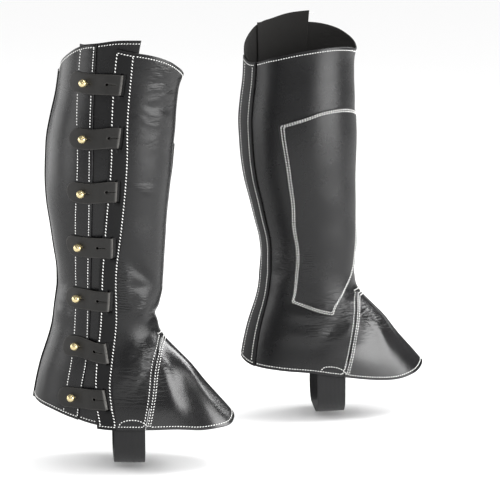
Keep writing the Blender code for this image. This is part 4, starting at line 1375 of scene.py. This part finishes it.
def elastic_webbing():
    """Woven elastic: ribs along the strap crossed by fine picks, and matt black yarn."""
    material, tree, shader = material_base("ribbed_black_elastic")
    chart = add_node(tree, "ShaderNodeUVMap", uv_map="surface").outputs["UV"]
    axes = add_node(tree, "ShaderNodeSeparateXYZ")
    tree.links.new(chart, axes.inputs[0])
    ribs = maths(tree, "SINE", maths(tree, "MULTIPLY", axes.outputs["X"], 2 * math.pi / RIB_PITCH))
    picks = maths(tree, "SINE",
                  maths(tree, "MULTIPLY", axes.outputs["Y"], 2 * math.pi / PICK_PITCH))
    weave = maths(tree, "ADD", maths(tree, "MULTIPLY", ribs, 0.10),
                  maths(tree, "MULTIPLY", picks, 0.05))
    yarn = noise(tree, chart, 1800.0, 2.0)
    colour = mixed(tree, yarn, (0.006, 0.006, 0.0065), (0.017, 0.017, 0.018))
    tree.links.new(colour, shader.inputs["Base Color"])
    tree.links.new(maths(tree, "ADD", maths(tree, "MULTIPLY", yarn, 0.15), 0.75),
                   shader.inputs["Roughness"])
    bumped(tree, shader, maths(tree, "ADD", weave, maths(tree, "MULTIPLY", yarn, 0.08)))
    shader.inputs["Sheen Weight"].default_value = 0.15
    return material


def white_thread():
    """Waxed white thread, a little greyer in places where it has rubbed."""
    material, tree, shader = material_base("waxed_white_thread")
    place = add_node(tree, "ShaderNodeTexCoord").outputs["Object"]
    rubbed = noise(tree, place, 120.0, 3.0)
    tree.links.new(mixed(tree, rubbed, (0.97, 0.97, 0.95), (0.80, 0.80, 0.78)),
                   shader.inputs["Base Color"])
    twist = noise(tree, place, 2600.0, 1.0)
    tree.links.new(maths(tree, "ADD", maths(tree, "MULTIPLY", twist, 0.2), 0.5),
                   shader.inputs["Roughness"])
    bumped(tree, shader, maths(tree, "MULTIPLY", twist, 0.15))
    return material


def polished_brass():
    """Brass with a soft tarnish and fine rubbing marks."""
    material, tree, shader = material_base("polished_brass")
    place = add_node(tree, "ShaderNodeTexCoord").outputs["Object"]
    tarnish = noise(tree, place, 260.0, 4.0, 0.6)
    tree.links.new(mixed(tree, tarnish, (0.98, 0.88, 0.56), (0.86, 0.66, 0.30)),
                   shader.inputs["Base Color"])
    tree.links.new(maths(tree, "ADD", maths(tree, "MULTIPLY", tarnish, 0.16), 0.16),
                   shader.inputs["Roughness"])
    shader.inputs["Metallic"].default_value = 0.85
    bumped(tree, shader, maths(tree, "MULTIPLY", noise(tree, place, 900.0, 2.0), 0.008))
    return material


def pale_floor():
    """Studio floor, a wide plain sheet at ground level, darker in reflections."""
    corners = [(x * FLOOR_REACH, y * FLOOR_REACH, GROUND * MM)
               for x, y in ((-1, -1), (1, -1), (1, 1), (-1, 1))]
    mesh = bpy.data.meshes.new("studio_floor")
    mesh.from_pydata(corners, [], [(0, 1, 2, 3)])
    material, tree, shader = material_base("pale_floor")
    shader.inputs["Base Color"].default_value = (*FLOOR_COLOUR, 1.0)
    shader.inputs["Roughness"].default_value = 0.9
    shader.inputs["Specular IOR Level"].default_value = 0.1
    reflected = add_node(tree, "ShaderNodeLightPath").outputs["Is Glossy Ray"]
    dimmed = add_node(tree, "ShaderNodeMixShader")
    dark = add_node(tree, "ShaderNodeEmission")
    dark.inputs["Strength"].default_value = 0.0
    share = maths(tree, "MULTIPLY", reflected, 1.0 - FLOOR_REFLECTED)
    tree.links.new(share, dimmed.inputs["Fac"])
    tree.links.new(shader.outputs["BSDF"], dimmed.inputs[1])
    tree.links.new(dark.outputs["Emission"], dimmed.inputs[2])
    tree.links.new(dimmed.outputs["Shader"], tree.nodes["Material Output"].inputs["Surface"])
    mesh.materials.append(material)
    floor = bpy.data.objects.new("studio_floor", mesh)
    bpy.context.scene.collection.objects.link(floor)


def soft_box(name, azimuth, elevation, width, height, brightness):
    """A rectangular lamp on a sphere round the pair, facing its middle."""
    lamp = bpy.data.lights.new(name, "AREA")
    lamp.shape = "RECTANGLE"
    lamp.size, lamp.size_y = width, height
    lamp.energy = brightness * math.pi * width * height
    turn, rise = math.radians(azimuth), math.radians(elevation)
    away = Vector((math.sin(turn) * math.cos(rise), -math.cos(turn) * math.cos(rise),
                   math.sin(rise)))
    box = bpy.data.objects.new(name, lamp)
    box.location = Vector(BOX_CENTRE) + away * BOX_DISTANCE
    box.rotation_euler = away.to_track_quat("Z", "Y").to_euler()
    bpy.context.scene.collection.objects.link(box)


def studio():
    """White surroundings, with soft boxes that give the long highlights of the photograph."""
    settings = bpy.context.scene.view_settings
    settings.view_transform = "Standard"
    settings.look = "None"
    world = bpy.data.worlds.new("studio")
    world.use_nodes = True
    tree = world.node_tree
    background = tree.nodes["Background"]
    background.inputs["Color"].default_value = (1.0, 1.0, 1.0, 1.0)
    reflected = add_node(tree, "ShaderNodeLightPath").outputs["Is Glossy Ray"]
    strength = maths(tree, "MULTIPLY_ADD", reflected, WORLD_REFLECTED - WORLD_STRENGTH,
                     WORLD_STRENGTH)
    tree.links.new(strength, background.inputs["Strength"])
    bpy.context.scene.world = world
    for row in SOFT_BOXES:
        soft_box(*row)


def camera():
    """The photograph's view: 3 m away, a long lens, looking 10 degrees down, level."""
    lens = bpy.data.cameras.new("camera")
    lens.lens = LENS
    lens.sensor_width = 36.0
    lens.clip_end = 100.0
    view = bpy.data.objects.new("camera", lens)
    view.location = CAMERA_PLACE
    view.rotation_euler = (math.radians(90.0 - CAMERA_TILT), 0.0, 0.0)
    bpy.context.scene.collection.objects.link(view)
    bpy.context.scene.camera = view


def dress(chap, finishes):
    """All pieces of one chap."""
    leg_panel(chap, finishes["leather"])
    vamp(chap, finishes["instep"])
    back_panel(chap, finishes["leather"])
    underlap(chap, finishes["leather"])
    calf_patch(chap, finishes["leather"])
    placket_band(chap, finishes["trim"])
    back_strip(chap, finishes["trim"])
    foot_strap(chap, finishes["elastic"])
    for number, tab in enumerate(named_rows(TAB_COLUMNS, TABS), 1):
        tab_piece(chap, number, tab, finishes["tabs"])
        ball_stud(chap, number, tab, finishes["brass"])
    stitching(chap, finishes["thread"])


def main():
    """Materials, both chaps, the floor, the studio and the camera."""
    groups = {"grain": grain_group(), "wrinkles": crumple_group(), "edge": edge_group()}
    finishes = {key: leather_finish(groups, *row) for key, row in LEATHERS.items()}
    finishes.update(elastic=elastic_webbing(), thread=white_thread(), brass=polished_brass())
    for chap in CHAPS:
        dress(chap, finishes)
    pale_floor()
    studio()
    camera()


main()
